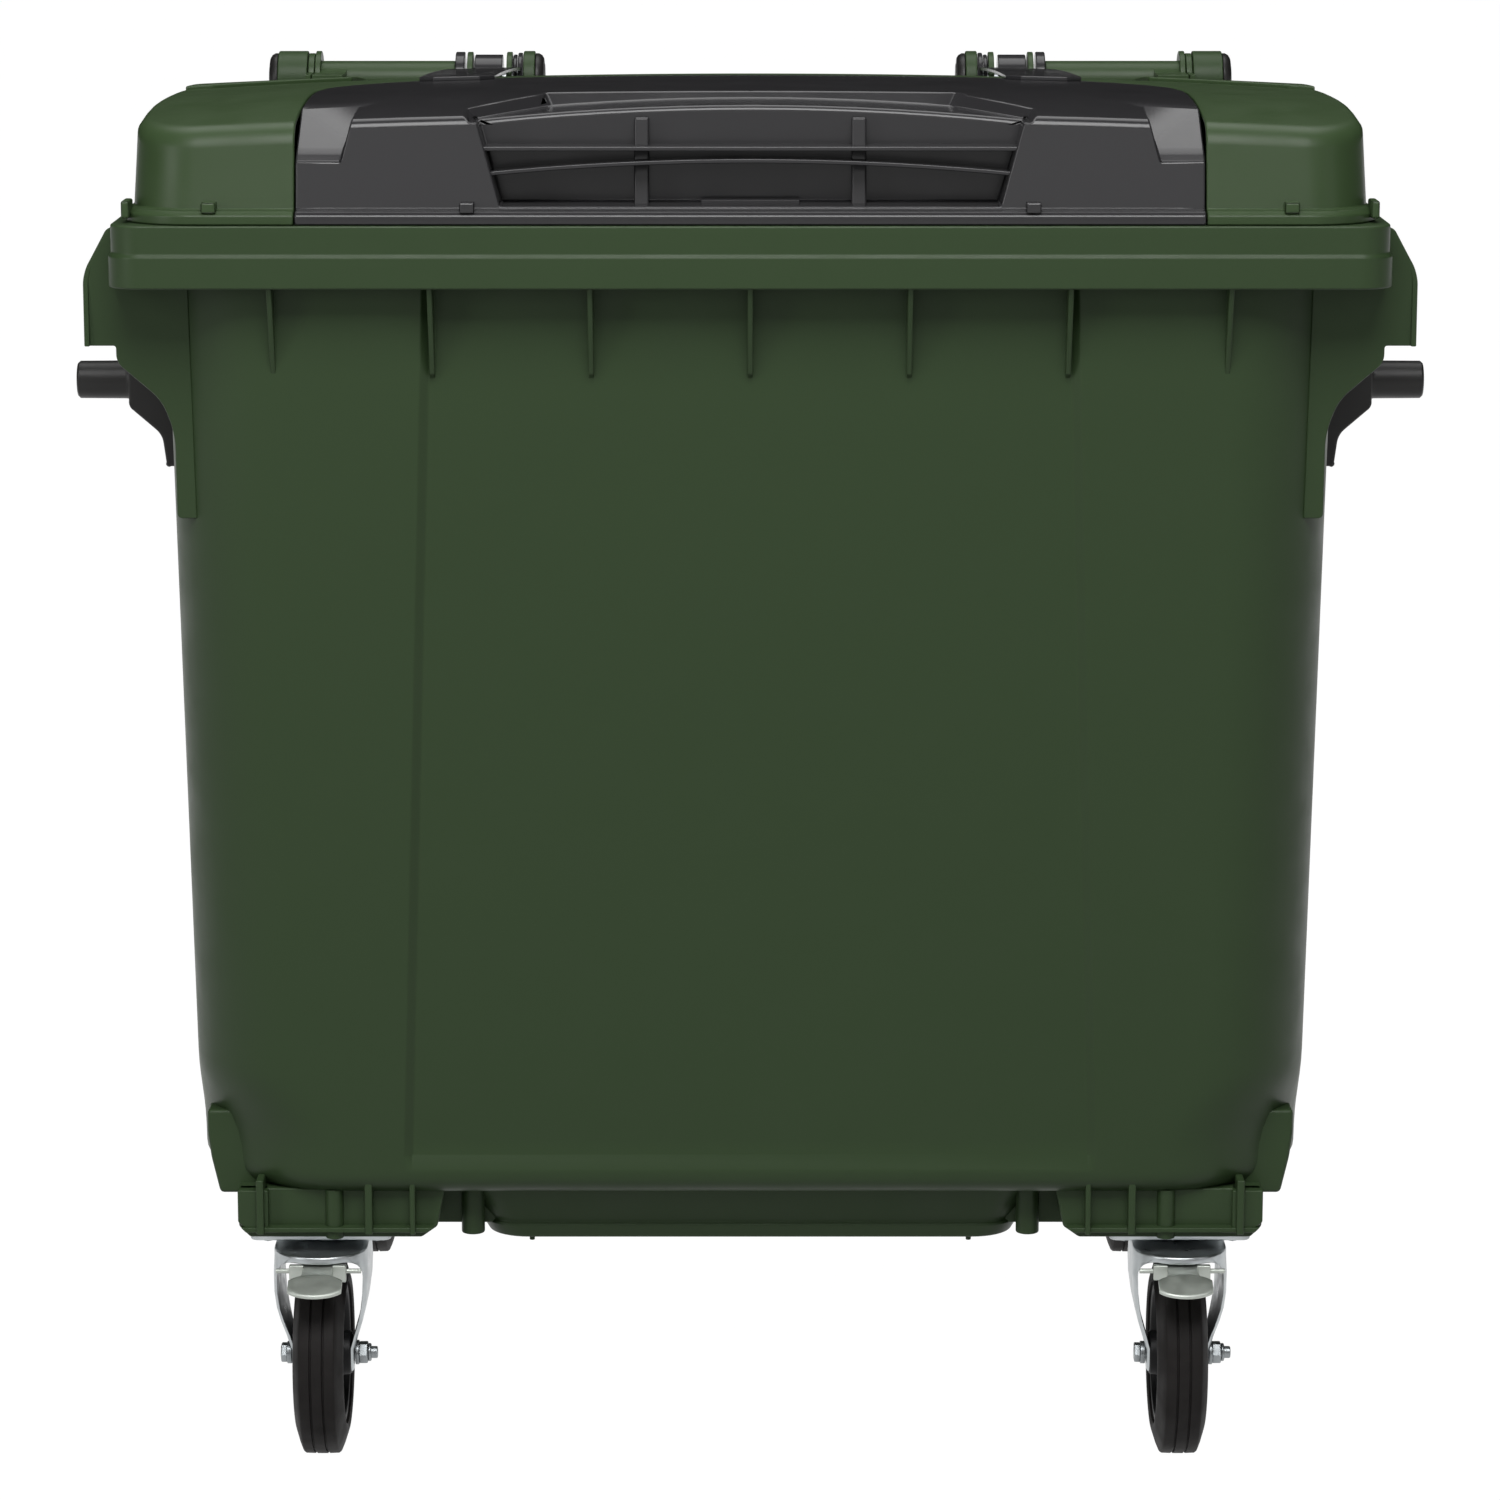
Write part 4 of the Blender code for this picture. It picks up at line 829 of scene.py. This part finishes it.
def main_lid_shell():
    opening = slab(seam_outline(0), 2, lid_foot - 0.02, lid_side_top + 0.05)
    return carved(dome(0, lid_front_round, lid_front_fall),
                  (dome(lid_wall, lid_front_round, lid_front_fall), "DIFFERENCE"),
                  (opening, "DIFFERENCE"))


def main_lid_ledge():
    """The ledge that carries the small lid, just under its edge."""
    start = lid_front + 0.125
    outside, inside = seam_outline(-0.006), seam_outline(0.014)
    outline = [outside[0]] + outside[1:] + [inside[-1]] + inside[-2::-1]
    outline = [(x, max(y, start)) for x, y in outline]
    return drape(slab(outline, 2, -0.0115, -0.0065))


def main_lid_rail():
    """The strip behind the foot of the lid's front, and the shallow seat for the small lid."""
    outer, front = seam_half + 0.050, lid_front + 0.026
    shapes = [block((-outer, front, lid_foot), (outer, front + 0.038, lid_foot + 0.010), 0.0008)]
    for side in (-1, 1):
        left, right = across(side, seam_half + 0.0007, outer)
        shapes.append(block((left, lid_front + ledge_front, lid_foot + 0.001),
                            (right, front + 0.019, lid_foot + 0.0085), 0.0005))
    return gather(shapes)


def main_lid_trim():
    """Stops, end lips and the raised band along the rear half of the lid."""
    inner, outer, end = 0.4085, 0.5665, lid_back - 0.030
    band = [(inner, 0.010), (0.540, -0.100), (outer, -0.110), (outer, end), (inner, end)]
    shapes = []
    for side in (-1, 1):
        shapes.append(front_knob(side, 0.4957, 0.5097))
        left, right = across(side, 0.5790, 0.5868)
        shapes.append(block((left, lid_front + 0.025, lid_foot + 0.004),
                            (right, lid_front + 0.058, lid_foot + 0.0205), 0.002, 3))
        shapes.append(drape(slab(mirrored(side, band), 2, -0.004, 0.0040)))
    return gather(shapes)


def main_lid_hinge():
    """The long tubes, rings and discs of the main lid on the hinge line, with their necks."""
    back_wall = lid_back - ledge_side - side_lean
    shapes = []
    for side in (-1, 1):
        shapes += [knuckle(side, 0.3301, 0.4810, 0.021), knuckle(side, 0.4795, 0.4857, 0.032),
                   knuckle(side, 0.4866, 0.4935, 0.0295), knuckle(side, 0.3100, 0.3162, 0.031),
                   knuckle(side, 0.2660, 0.2722, 0.031)]
        for start, end, top in ((0.451, 0.4855, 0.010), (0.4869, 0.4932, 0.010),
                                (0.3103, 0.3159, -0.010), (0.2663, 0.2719, -0.010)):
            left, right = across(side, start, end)
            neck = [(back_wall - 0.0025, hinge_z - 0.040), (back_wall - 0.0025, hinge_z + top),
                    (hinge_y - 0.026, hinge_z + top), (hinge_y, hinge_z + 0.0185),
                    (hinge_y, hinge_z - 0.0185), (hinge_y - 0.032, hinge_z - 0.024)]
            shapes.append(slab(neck, 0, left, right, 0.0008))
    return gather(shapes)


piece("main_lid_shell", main_lid_shell(), "main_lid", lid_green,
      ("main_lid",), 0.0014, 28)
piece("main_lid_ledge", main_lid_ledge(), "main_lid", lid_green)
piece("main_lid_rail", main_lid_rail(), "main_lid", lid_green)
piece("main_lid_trim", main_lid_trim(), "main_lid", lid_green, (), 0.0015)
piece("main_lid_hinge", main_lid_hinge(), "main_lid", lid_green)


# Small lid

recess_half_top, recess_half_foot = 0.256, 0.233
recess_floor = rim_top + 0.017
recess_back = lid_front + ledge_front + 0.056
shelf_z, shelf_half = rim_top + 0.107, 0.266
shelf_sag, shelf_reach = 0.0118, 0.239
arm_start, arm_rise = -0.105, 0.0225


def shelf_drop(x):
    """How far the arched shelf has come down at this distance from its middle."""
    return shelf_sag * (x / shelf_reach) ** 2


def recess_form(margin):
    """The grip recess as a solid; with a margin, its walls' outside."""
    front = lid_front + ledge_front + lid_wall / 2 if margin else lid_front - 0.03
    top = lid_side_top + 0.05
    flare = (recess_half_top - recess_half_foot) / (lid_side_top - recess_floor)
    foot = recess_floor - margin
    half_foot = recess_half_foot + margin
    half_top = recess_half_foot + margin + flare * (top - recess_floor)
    outline = [(-half_foot, foot), (half_foot, foot), (half_top, top), (-half_top, top)]
    return slab(outline, 1, front, recess_back + margin)


def corner_facet(side, depth):
    """The wedge cut from the small lid's outer front corner, where a lifter's thumb rests."""
    inner, outer = 0.3815, 0.46
    low = rim_top + 0.0560
    start = lid_front + ledge_front + 0.0075
    outline = [(lid_front - 0.03, low - depth), (start + depth, low - depth, 0.006),
               (start + 0.012 + depth, rim_top + 0.0669 - depth, 0.008),
               (start + 0.105 + depth, rim_top + 0.1185 - depth), (start + 0.105, rim_top + 0.2),
               (lid_front - 0.03, rim_top + 0.2)]
    left, right = across(side, inner - depth, outer)
    form = slab(outline, 0, left, right)
    for vert in form.verts:
        if abs(vert.co.x) < 0.4:
            vert.co.x -= side * 0.26 * (vert.co.z - low)
    return form


def scoop(depth):
    """The low shelf behind the grip recess, arched from side to side, with a sloped back."""
    front, waist, back_half = lid_front - 0.03, 0.258, 0.189
    outline = [(-shelf_half, front), (shelf_half, front), (waist, -0.460), (back_half, -0.372),
               (-back_half, -0.372), (-waist, -0.460)]
    form = slab(outline, 2, shelf_z - depth, shelf_z + 0.06)
    sliced(form, 0, spaced(shelf_half, 8))
    for vert in form.verts:
        if vert.co.z > shelf_z:
            vert.co.y += 0.045 if vert.co.y > -0.38 else 0
            vert.co.x *= 1.16
        vert.co.z -= shelf_drop(vert.co.x)
    return form


def brow(radius=0.0065):
    """What is taken off the shelf's front edge to round it."""
    half = 0.275
    turns = [math.radians(90 + 15 * step) for step in range(7)]
    outline = [(recess_back - 0.002, shelf_z - radius), (recess_back - 0.002, shelf_z + 0.002),
               (recess_back + radius, shelf_z + 0.002)]
    outline += [(recess_back + radius * (1 + math.cos(turn)),
                 shelf_z - radius * (1 - math.sin(turn))) for turn in turns]
    form = slab(outline, 0, -half, half)
    sliced(form, 0, spaced(half, 8))
    for vert in form.verts:
        vert.co.z -= shelf_drop(vert.co.x)
    return form


def small_lid_shell():
    keep = slab(seam_outline(seam_gap), 2, lid_foot - 0.02, lid_side_top + 0.05)
    inside = carved(dome(lid_wall, small_front_round, small_front_fall),
                    (corner_facet(-1, lid_wall), "DIFFERENCE"),
                    (corner_facet(1, lid_wall), "DIFFERENCE"), (scoop(lid_wall), "DIFFERENCE"),
                    (recess_form(lid_wall), "DIFFERENCE"))
    return carved(dome(0, small_front_round, small_front_fall),
                  (corner_facet(-1, 0), "DIFFERENCE"), (corner_facet(1, 0), "DIFFERENCE"),
                  (scoop(0), "DIFFERENCE"), (inside, "DIFFERENCE"), (keep, "INTERSECT"),
                  (recess_form(0), "DIFFERENCE"), (brow(), "DIFFERENCE"))


def slat(z, rise, thickness):
    """A thin louvre across the recess, arched by its rise."""
    share = (z - recess_floor) / (lid_side_top - recess_floor)
    half = recess_half_foot + (recess_half_top - recess_half_foot) * share + 0.002
    front = lid_front + ledge_front + 0.014
    back = recess_back + 0.002
    bm = slab([(-half, front), (half, front), (half, back), (-half, back)], 2, z, z + thickness)
    sliced(bm, 0, spaced(half, 12))
    for vert in bm.verts:
        vert.co.z += rise * (1 - (vert.co.x / half) ** 2)
    return bm


def recess_fittings():
    """Two louvres, two upright webs and the shallow drain slot in the grip recess."""
    shapes = [slat(rim_top + 0.067, 0.0, 0.004), slat(rim_top + 0.044, 0.0118, 0.004)]
    for side in (-1, 1):
        left, right = across(side, 0.0947, 0.1087)
        top = rim_top + 0.096
        shapes.append(slab([(recess_back - 0.024, recess_floor - 0.002),
                            (recess_back + 0.002, recess_floor - 0.002),
                            (recess_back + 0.002, top), (recess_back - 0.010, top)],
                           0, left, right, 0.002))
    shapes.append(block((-0.0467, recess_back - 0.022, recess_floor - 0.002),
                        (0.0467, recess_back - 0.012, recess_floor + 0.0035), 0.0012))
    return gather(shapes)


def arm_top(x, y):
    """The arms start on the lid and rise straight to the hinge line."""
    share = max(y - arm_start, 0) / (hinge_y - 0.036 - arm_start)
    return lid_top(x, y) + arm_rise * share ** 2


def small_lid_arms():
    """The two arms that reach back over the main lid, with their discs and barrels."""
    inner, outer, end = 0.2555, 0.3310, hinge_y - 0.024
    plate = [(inner, end)]
    for left, right in ((0.2640, 0.2740), (0.3085, 0.3177)):
        plate += [(left, end), (left, end - 0.013), (right, end - 0.013), (right, end)]
    plate += [(outer, end), (outer, arm_start - 0.020), (0.316, arm_start - 0.036),
              (0.270, arm_start - 0.036), (inner, arm_start - 0.020)]
    shapes = []
    for side in (-1, 1):
        arm = slab(mirrored(side, plate), 2, -0.0002, 0.0040)
        shapes.append(drape(arm, 0.025, arm_top))
        shapes += [knuckle(side, 0.3190, 0.3293, 0.031), knuckle(side, 0.2768, 0.3079, 0.028),
                   knuckle(side, 0.2545, 0.2595, 0.030), knuckle(side, 0.2605, 0.2648, 0.028)]
    return gather(shapes)


def small_lid_trim():
    shapes = [front_knob(side, 0.2560, 0.2700) for side in (-1, 1)]
    return gather(shapes)


piece("small_lid_shell", small_lid_shell(), "small_lid", lid_grey,
      ("small_lid",), 0.0016, 28)
piece("recess_fittings", recess_fittings(), "small_lid", lid_grey, (), 0.0008)
piece("small_lid_arms", small_lid_arms(), "small_lid", lid_grey, (), 0.0008)
piece("small_lid_trim", small_lid_trim(), "small_lid", lid_grey, (), 0.0008)


# Hinge caps and lifting pins

def hinge_cap(side, face, outward):
    """A round cap on one end of the hinge shaft, stepped towards its middle."""
    reach = outward * 0.0102
    profile = [(face, 0.0), (face, 0.0295), (face + reach * 0.35, 0.0295),
               (face + reach * 0.7, 0.0275), (face + reach * 0.92, 0.0240),
               (face + reach * 0.92, 0.0190), (face + reach, 0.0175), (face + reach, 0.0)]
    return turned(mirrored(side, profile), 0, (0, hinge_y, hinge_z))


for name, side in (("left", -1), ("right", 1)):
    for place, face, outward in (("outer", 0.5278, 1), ("inner", 0.2402, -1)):
        piece("cap_" + name + "_" + place, hinge_cap(side, face, outward), "container", pin_black,
              ("hinge_cap_" + name + "_" + place,), 0.0008)


def lifting_pin(side):
    """The pin with its round head, and the bracket that spreads its load down the wall."""
    face, centre = 0.5833, rim_top - 0.203    # the pad's outer face, the pin's height
    outline = [(face, centre + 0.051), (0.633, centre + 0.022, 0.004),
               (0.633, centre - 0.0216, 0.006), (0.5998, centre - 0.0503, 0.010),
               (0.5956, centre - 0.0827, 0.003), (face, centre - 0.0827)]
    half = 0.055
    shapes = [slab(mirrored(side, outline), 1, body_y - half, body_y + half, 0.0025, 3)]
    tip = cad_high.x
    profile = [(0.595, 0.0), (0.595, 0.0235), (0.633, 0.0235), (0.6355, 0.0205), (0.641, 0.0195),
               (tip - 0.0025, 0.0192), (tip, 0.017), (tip, 0.0)]
    shapes.append(turned(mirrored(side, profile), 0, (0, body_y, centre)))
    return gather(shapes)


for name, side in (("left", -1), ("right", 1)):
    piece("lifting_pin_" + name, lifting_pin(side), "container", pin_black,
          ("trunnion_" + name,))


# Castors

castor_names = [name.removeprefix("tyre_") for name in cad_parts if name.startswith("tyre_")]
plate_foot = block_foot - 0.007
pedal_ahead, pedal_pivot_z = 0.088, 0.199


def castor_plate(x, y):
    """The pressed top plate with its turned race underneath."""
    half_x, half_y, corner = 0.0695, 0.060, 0.012
    race_foot = 0.2186
    corners = [(x + a * half_x, y + b * half_y, corner)
               for a, b in ((-1, -1), (1, -1), (1, 1), (-1, 1))]
    plate = slab(corners, 2, plate_foot, block_foot, 0.0018, 3)
    race = turned([(plate_foot + 0.001, 0.0), (plate_foot + 0.001, 0.0440),
                   (plate_foot - 0.0018, 0.0440), (plate_foot - 0.0030, 0.0425),
                   (race_foot, 0.0400), (race_foot, 0.0)], 2, (x, y, 0))
    return gather([plate, race])


def bolt_heads(x, y):
    """Four hexagon heads on washers under the plate."""
    reach_x, reach_y = 0.0535, 0.036
    shapes = []
    for side in (-1, 1):
        for end in (-1, 1):
            spot = (x + side * reach_x, y + end * reach_y, 0)
            shapes.append(rod(2, spot, plate_foot - 0.0015, plate_foot + 0.001, 0.0088, 0.0004, 28))
            shapes.append(rod(2, spot, plate_foot - 0.0054, plate_foot - 0.001, 0.0076, 0.0008, 6))
    return gather(shapes)


def fork_section(row, x, y, way):
    z, reach, back, half, corner = row
    near, far = sorted((way * reach, way * back))
    corners = [(x - half, y + near, True), (x + half, y + near, True), (x + half, y + far, True),
               (x - half, y + far, True)]
    return corners, corner, z, 8


def fork(x, y, way):
    """The pressed fork: a hood round the race with two legs that draw in to the axle."""
    rows = ((0.0830, 0.0500, 0.0260, 0.0300, 0.0080), (0.0900, 0.0550, 0.0210, 0.0306, 0.0060),
            (0.1070, 0.0560, 0.0200, 0.0312, 0.0060), (0.1230, 0.0600, 0.0140, 0.0358, 0.0080),
            (0.1390, 0.0680, 0.0020, 0.0405, 0.0100), (0.1550, 0.0770, -0.0080, 0.0440, 0.0140),
            (0.1720, 0.0860, -0.0280, 0.0460, 0.0220), (0.1900, 0.0920, -0.0400, 0.0468, 0.0340),
            (0.2050, 0.0945, -0.0455, 0.0465, 0.0440), (0.2120, 0.0945, -0.0465, 0.0465, 0.0440),
            (0.2140, 0.0930, -0.0460, 0.0458, 0.0440), (0.2150, 0.0560, -0.0445, 0.0442, 0.0430),
            (0.2184, 0.0400, -0.0400, 0.0400, 0.0398))
    hood = stack([fork_section(row, x, y, way) for row in rows])
    arch = [(-0.0255, 0.070), (-0.0268, 0.107), (-0.0313, 0.123), (-0.0360, 0.139),
            (-0.0396, 0.155), (-0.0418, 0.172), (-0.0428, 0.207, 0.026), (0.0428, 0.207, 0.026),
            (0.0418, 0.172), (0.0396, 0.155), (0.0360, 0.139), (0.0313, 0.123),
            (0.0268, 0.107), (0.0255, 0.070)]
    points = [(x + point[0], *point[1:]) for point in arch]
    channel = slab(points, 1, y - 0.20, y + 0.20)
    return carved(hood, (channel, "DIFFERENCE"))


def tyre(x, y, z):
    """A solid tyre with rounded shoulders and two grooves round its tread."""
    half = [(0.0, 0.0998), (0.0048, 0.0998), (0.0054, 0.0976), (0.0068, 0.0976),
            (0.0074, 0.0997), (0.0160, 0.0994), (0.0178, 0.0980), (0.0205, 0.0915),
            (0.0238, 0.0812), (0.0249, 0.0775), (0.0249, 0.0735), (0.0235, 0.0705)]
    outline = [(-along, radius) for along, radius in half[:0:-1]] + half
    return turned(outline, 0, (x, y, z), 96)


def wheel_hub(x, y, z):
    """The moulded wheel centre: a rim, a web with six ribs, and the hub tube."""
    outline = [(-0.0205, 0.0700), (0.0205, 0.0700), (0.0215, 0.0685), (0.0215, 0.0640),
               (0.0200, 0.0620), (0.0070, 0.0600), (0.0055, 0.0575), (0.0055, 0.0260),
               (0.0075, 0.0235), (0.0265, 0.0215), (0.0280, 0.0200), (0.0280, 0.0070)]
    outline += [(-along, radius) for along, radius in outline[:1:-1]]
    shapes = [turned(outline, 0, (x, y, z), 64)]
    for number in range(6):
        rib = block((x - 0.017, y - 0.0018, z + 0.020), (x + 0.017, y + 0.0018, z + 0.0635), 0.001)
        bmesh.ops.rotate(rib, verts=rib.verts[:], cent=(x, y, z),
                         matrix=Matrix.Rotation(math.radians(60 * number), 3, "X"))
        shapes.append(rib)
    return gather(shapes)


def axle_head(x, y, z):
    return gather([rod(0, (x, y, z), -0.0364, -0.0318, 0.0112, 0.0005, 32),
                   rod(0, (x, y, z), -0.0425, -0.0360, 0.0100, 0.0012, 6),
                   rod(0, (x, y, z), -0.0340, 0.0340, 0.0060, 0.0005, 28)])


def axle_nut(x, y, z):
    return gather([rod(0, (x, y, z), 0.0318, 0.0352, 0.0122, 0.0005, 32),
                   rod(0, (x, y, z), 0.0350, 0.0440, 0.0112, 0.0012, 6),
                   rod(0, (x, y, z), 0.0438, 0.0472, 0.0090, 0.0012, 28),
                   rod(0, (x, y, z), 0.0330, 0.0535, 0.0060, 0.0012, 28)])


def brake_pedal(x, y, z):
    """The foot pedal: a yoke on the pivot, a neck and an oval pad with a turned-down edge."""
    shapes = [rod(0, (x, y, z), -0.0420, 0.0420, 0.0024, 0.0005, 24),
              block((x - 0.0285, y - 0.0065, z - 0.0080),
                    (x - 0.0140, y + 0.001, z + 0.0070), 0.0012),
              block((x + 0.0140, y - 0.0065, z - 0.0100),
                    (x + 0.0275, y + 0.001, z + 0.0070), 0.0012)]
    neck = [(x - 0.0145, y + 0.002), (x + 0.0145, y + 0.002), (x + 0.0155, y - 0.016),
            (x + 0.0205, y - 0.034), (x - 0.0205, y - 0.034), (x - 0.0155, y - 0.016)]
    arm = slab(neck, 2, z + 0.0025, z + 0.0065, 0.001)
    for vert in arm.verts:
        vert.co.z -= 0.27 * (y + 0.002 - vert.co.y)
    shapes.append(arm)
    pad = turned([(-0.0032, 0.0), (-0.0032, 0.0285), (-0.0024, 0.0302), (-0.0008, 0.0308),
                  (0.0006, 0.0296), (0.0014, 0.0265), (0.0010, 0.0)], 2, (0, 0, 0), 72)
    bmesh.ops.scale(pad, vec=(1, 0.58, 1), verts=pad.verts[:])
    for end in (-1, 1):
        cut = bmesh.ops.bisect_plane(pad, geom=pad.verts[:] + pad.edges[:] + pad.faces[:],
                                     dist=0.00001, plane_co=(end * 0.0262, 0, 0),
                                     plane_no=(end, 0, 0), clear_outer=True)
        rim = [e for e in cut["geom_cut"] if isinstance(e, bmesh.types.BMEdge)]
        bmesh.ops.contextual_create(pad, geom=rim)
    bmesh.ops.rotate(pad, cent=(0, 0, 0), verts=pad.verts[:],
                     matrix=Matrix.Rotation(math.radians(22), 3, "X"))
    bmesh.ops.translate(pad, vec=(x, y - 0.047, z - 0.0012), verts=pad.verts[:])
    shapes.append(pad)
    return gather(shapes)


for name in castor_names:
    place = middle("castor_plate_" + name)
    axle = middle("tyre_" + name)
    way = 1 if axle.y > place.y else -1
    hub_place = (axle.x, axle.y, axle.z)
    piece("top_plate_" + name, castor_plate(place.x, place.y), "container", zinc,
          ("castor_plate_" + name,))
    piece("plate_bolts_" + name, bolt_heads(place.x, place.y), "container", bolt_zinc,
          ["plate_bolt_" + name + "_" + str(number) for number in range(1, 5)])
    piece("fork_" + name, fork(place.x, place.y, way), "swivel_" + name, zinc,
          ("castor_fork_" + name,), 0.0008, 40)
    piece("tread_" + name, tyre(*hub_place), "wheel_" + name, rubber,
          ("tyre_" + name,))
    piece("hub_" + name, wheel_hub(*hub_place), "wheel_" + name, hub_black,
          ("wheel_hub_" + name,))
    piece("bolt_head_" + name, axle_head(*hub_place), "swivel_" + name, bolt_zinc,
          ("axle_bolt_" + name,))
    piece("bolt_nut_" + name, axle_nut(*hub_place), "swivel_" + name, bolt_zinc,
          ("axle_nut_" + name,))
    if "brake_pedal_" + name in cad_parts:
        pedal = brake_pedal(place.x, place.y - pedal_ahead, pedal_pivot_z)
        piece("pedal_" + name, pedal, "pedal_" + name, pedal_zinc,
              ("brake_pedal_" + name,))


# Floor, light and camera

def looked_at(tree):
    """1 for a ray of the camera, of a gloss or of a see-through finish, or else 0."""
    path = tree.nodes.new("ShaderNodeLightPath")
    result = path.outputs["Is Camera Ray"]
    for kind in ("Is Glossy Ray", "Is Transmission Ray"):
        result = combined(tree, "MAXIMUM", result, path.outputs[kind])
    return result


def stage():
    floor = bmesh.new()
    bmesh.ops.create_grid(floor, x_segments=1, y_segments=1, size=60)
    mesh = bpy.data.meshes.new("floor")
    floor.to_mesh(mesh)
    floor.free()
    item = bpy.data.objects.new("floor", mesh)
    bpy.context.scene.collection.objects.link(item)
    material = bpy.data.materials.new("pale floor")
    material.use_nodes = True
    tree = material.node_tree
    shader = tree.nodes["Principled BSDF"]
    shader.inputs["Roughness"].default_value = 0.9
    shader.inputs["Specular IOR Level"].default_value = 0.1
    white = tree.nodes.new("ShaderNodeEmission")
    white.inputs["Strength"].default_value = 1.055
    seen = looked_at(tree)
    tree.links.new(blend(tree, seen, (0.26, 0.26, 0.26), (0.95, 0.95, 0.95)),
                   shader.inputs["Base Color"])
    mix = tree.nodes.new("ShaderNodeMixShader")
    tree.links.new(combined(tree, "MULTIPLY", seen, 0.95), mix.inputs["Fac"])
    tree.links.new(shader.outputs["BSDF"], mix.inputs[1])
    tree.links.new(white.outputs["Emission"], mix.inputs[2])
    tree.links.new(mix.outputs["Shader"], tree.nodes["Material Output"].inputs["Surface"])
    mesh.materials.append(material)


def soft_box(name, place, target, width, height, power):
    lamp = bpy.data.lights.new(name, "AREA")
    lamp.shape = "RECTANGLE"
    lamp.size = width
    lamp.size_y = height
    lamp.energy = power
    item = bpy.data.objects.new(name, lamp)
    item.location = place
    way = Vector(target) - Vector(place)
    item.rotation_euler = way.to_track_quat("-Z", "Y").to_euler()
    bpy.context.scene.collection.objects.link(item)


def lighting():
    world = bpy.data.worlds.new("studio")
    bpy.context.scene.world = world
    world.use_nodes = True
    tree = world.node_tree
    back = tree.nodes["Background"]
    where = tree.nodes.new("ShaderNodeTexCoord")
    split = tree.nodes.new("ShaderNodeSeparateXYZ")
    tree.links.new(where.outputs["Generated"], split.inputs["Vector"])
    tree.links.new(spread(tree, split.outputs["Z"], 0.12, 1.0, 0.30, 1.0), back.inputs["Strength"])
    white = tree.nodes.new("ShaderNodeBackground")
    white.inputs["Strength"].default_value = 1
    path = tree.nodes.new("ShaderNodeLightPath")
    seen = combined(tree, "MAXIMUM", path.outputs["Is Camera Ray"],
                    path.outputs["Is Transmission Ray"])
    mix = tree.nodes.new("ShaderNodeMixShader")
    tree.links.new(seen, mix.inputs["Fac"])
    tree.links.new(back.outputs["Background"], mix.inputs[1])
    tree.links.new(white.outputs["Background"], mix.inputs[2])
    tree.links.new(mix.outputs["Shader"], tree.nodes["World Output"].inputs["Surface"])
    soft_box("front top box", (0, -3.2, 4.5), (0, 0, 0.9), 3.4, 2.2, 235)
    soft_box("overhead box", (0, 0.9, 4.6), (0, 0, 0.9), 3.6, 2.4, 80)
    soft_box("front box", (0, -6.0, 2.6), (0, 0, 0.7), 4.0, 2.4, 30)
    soft_box("left box", (-3.8, -3.2, 2.4), (0, 0, 0.7), 1.2, 2.4, 60)
    soft_box("right box", (3.8, -3.2, 2.4), (0, 0, 0.7), 1.2, 2.4, 14)


def camera():
    sensor, focal_pixels, frame_pixels = 36, 5186, 1500
    lens = bpy.data.cameras.new("photograph")
    lens.sensor_width = sensor
    lens.lens = focal_pixels / frame_pixels * sensor
    lens.shift_x = -0.0002
    item = bpy.data.objects.new("photograph", lens)
    item.location = (0, -5.344, 1.678)
    item.rotation_euler = (math.radians(90 - 11.04), 0, 0)
    bpy.context.scene.collection.objects.link(item)
    bpy.context.scene.camera = item


stage()
lighting()
camera()
bpy.context.scene.view_settings.view_transform = "Standard"


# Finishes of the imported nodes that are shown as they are
node_finishes = {"kingpin": zinc, "hinge_shaft": zinc, "drain": pin_black}
for name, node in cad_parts.items():
    for start, material in node_finishes.items():
        if name.startswith(start):
            node.data.materials.clear()
            node.data.materials.append(material)
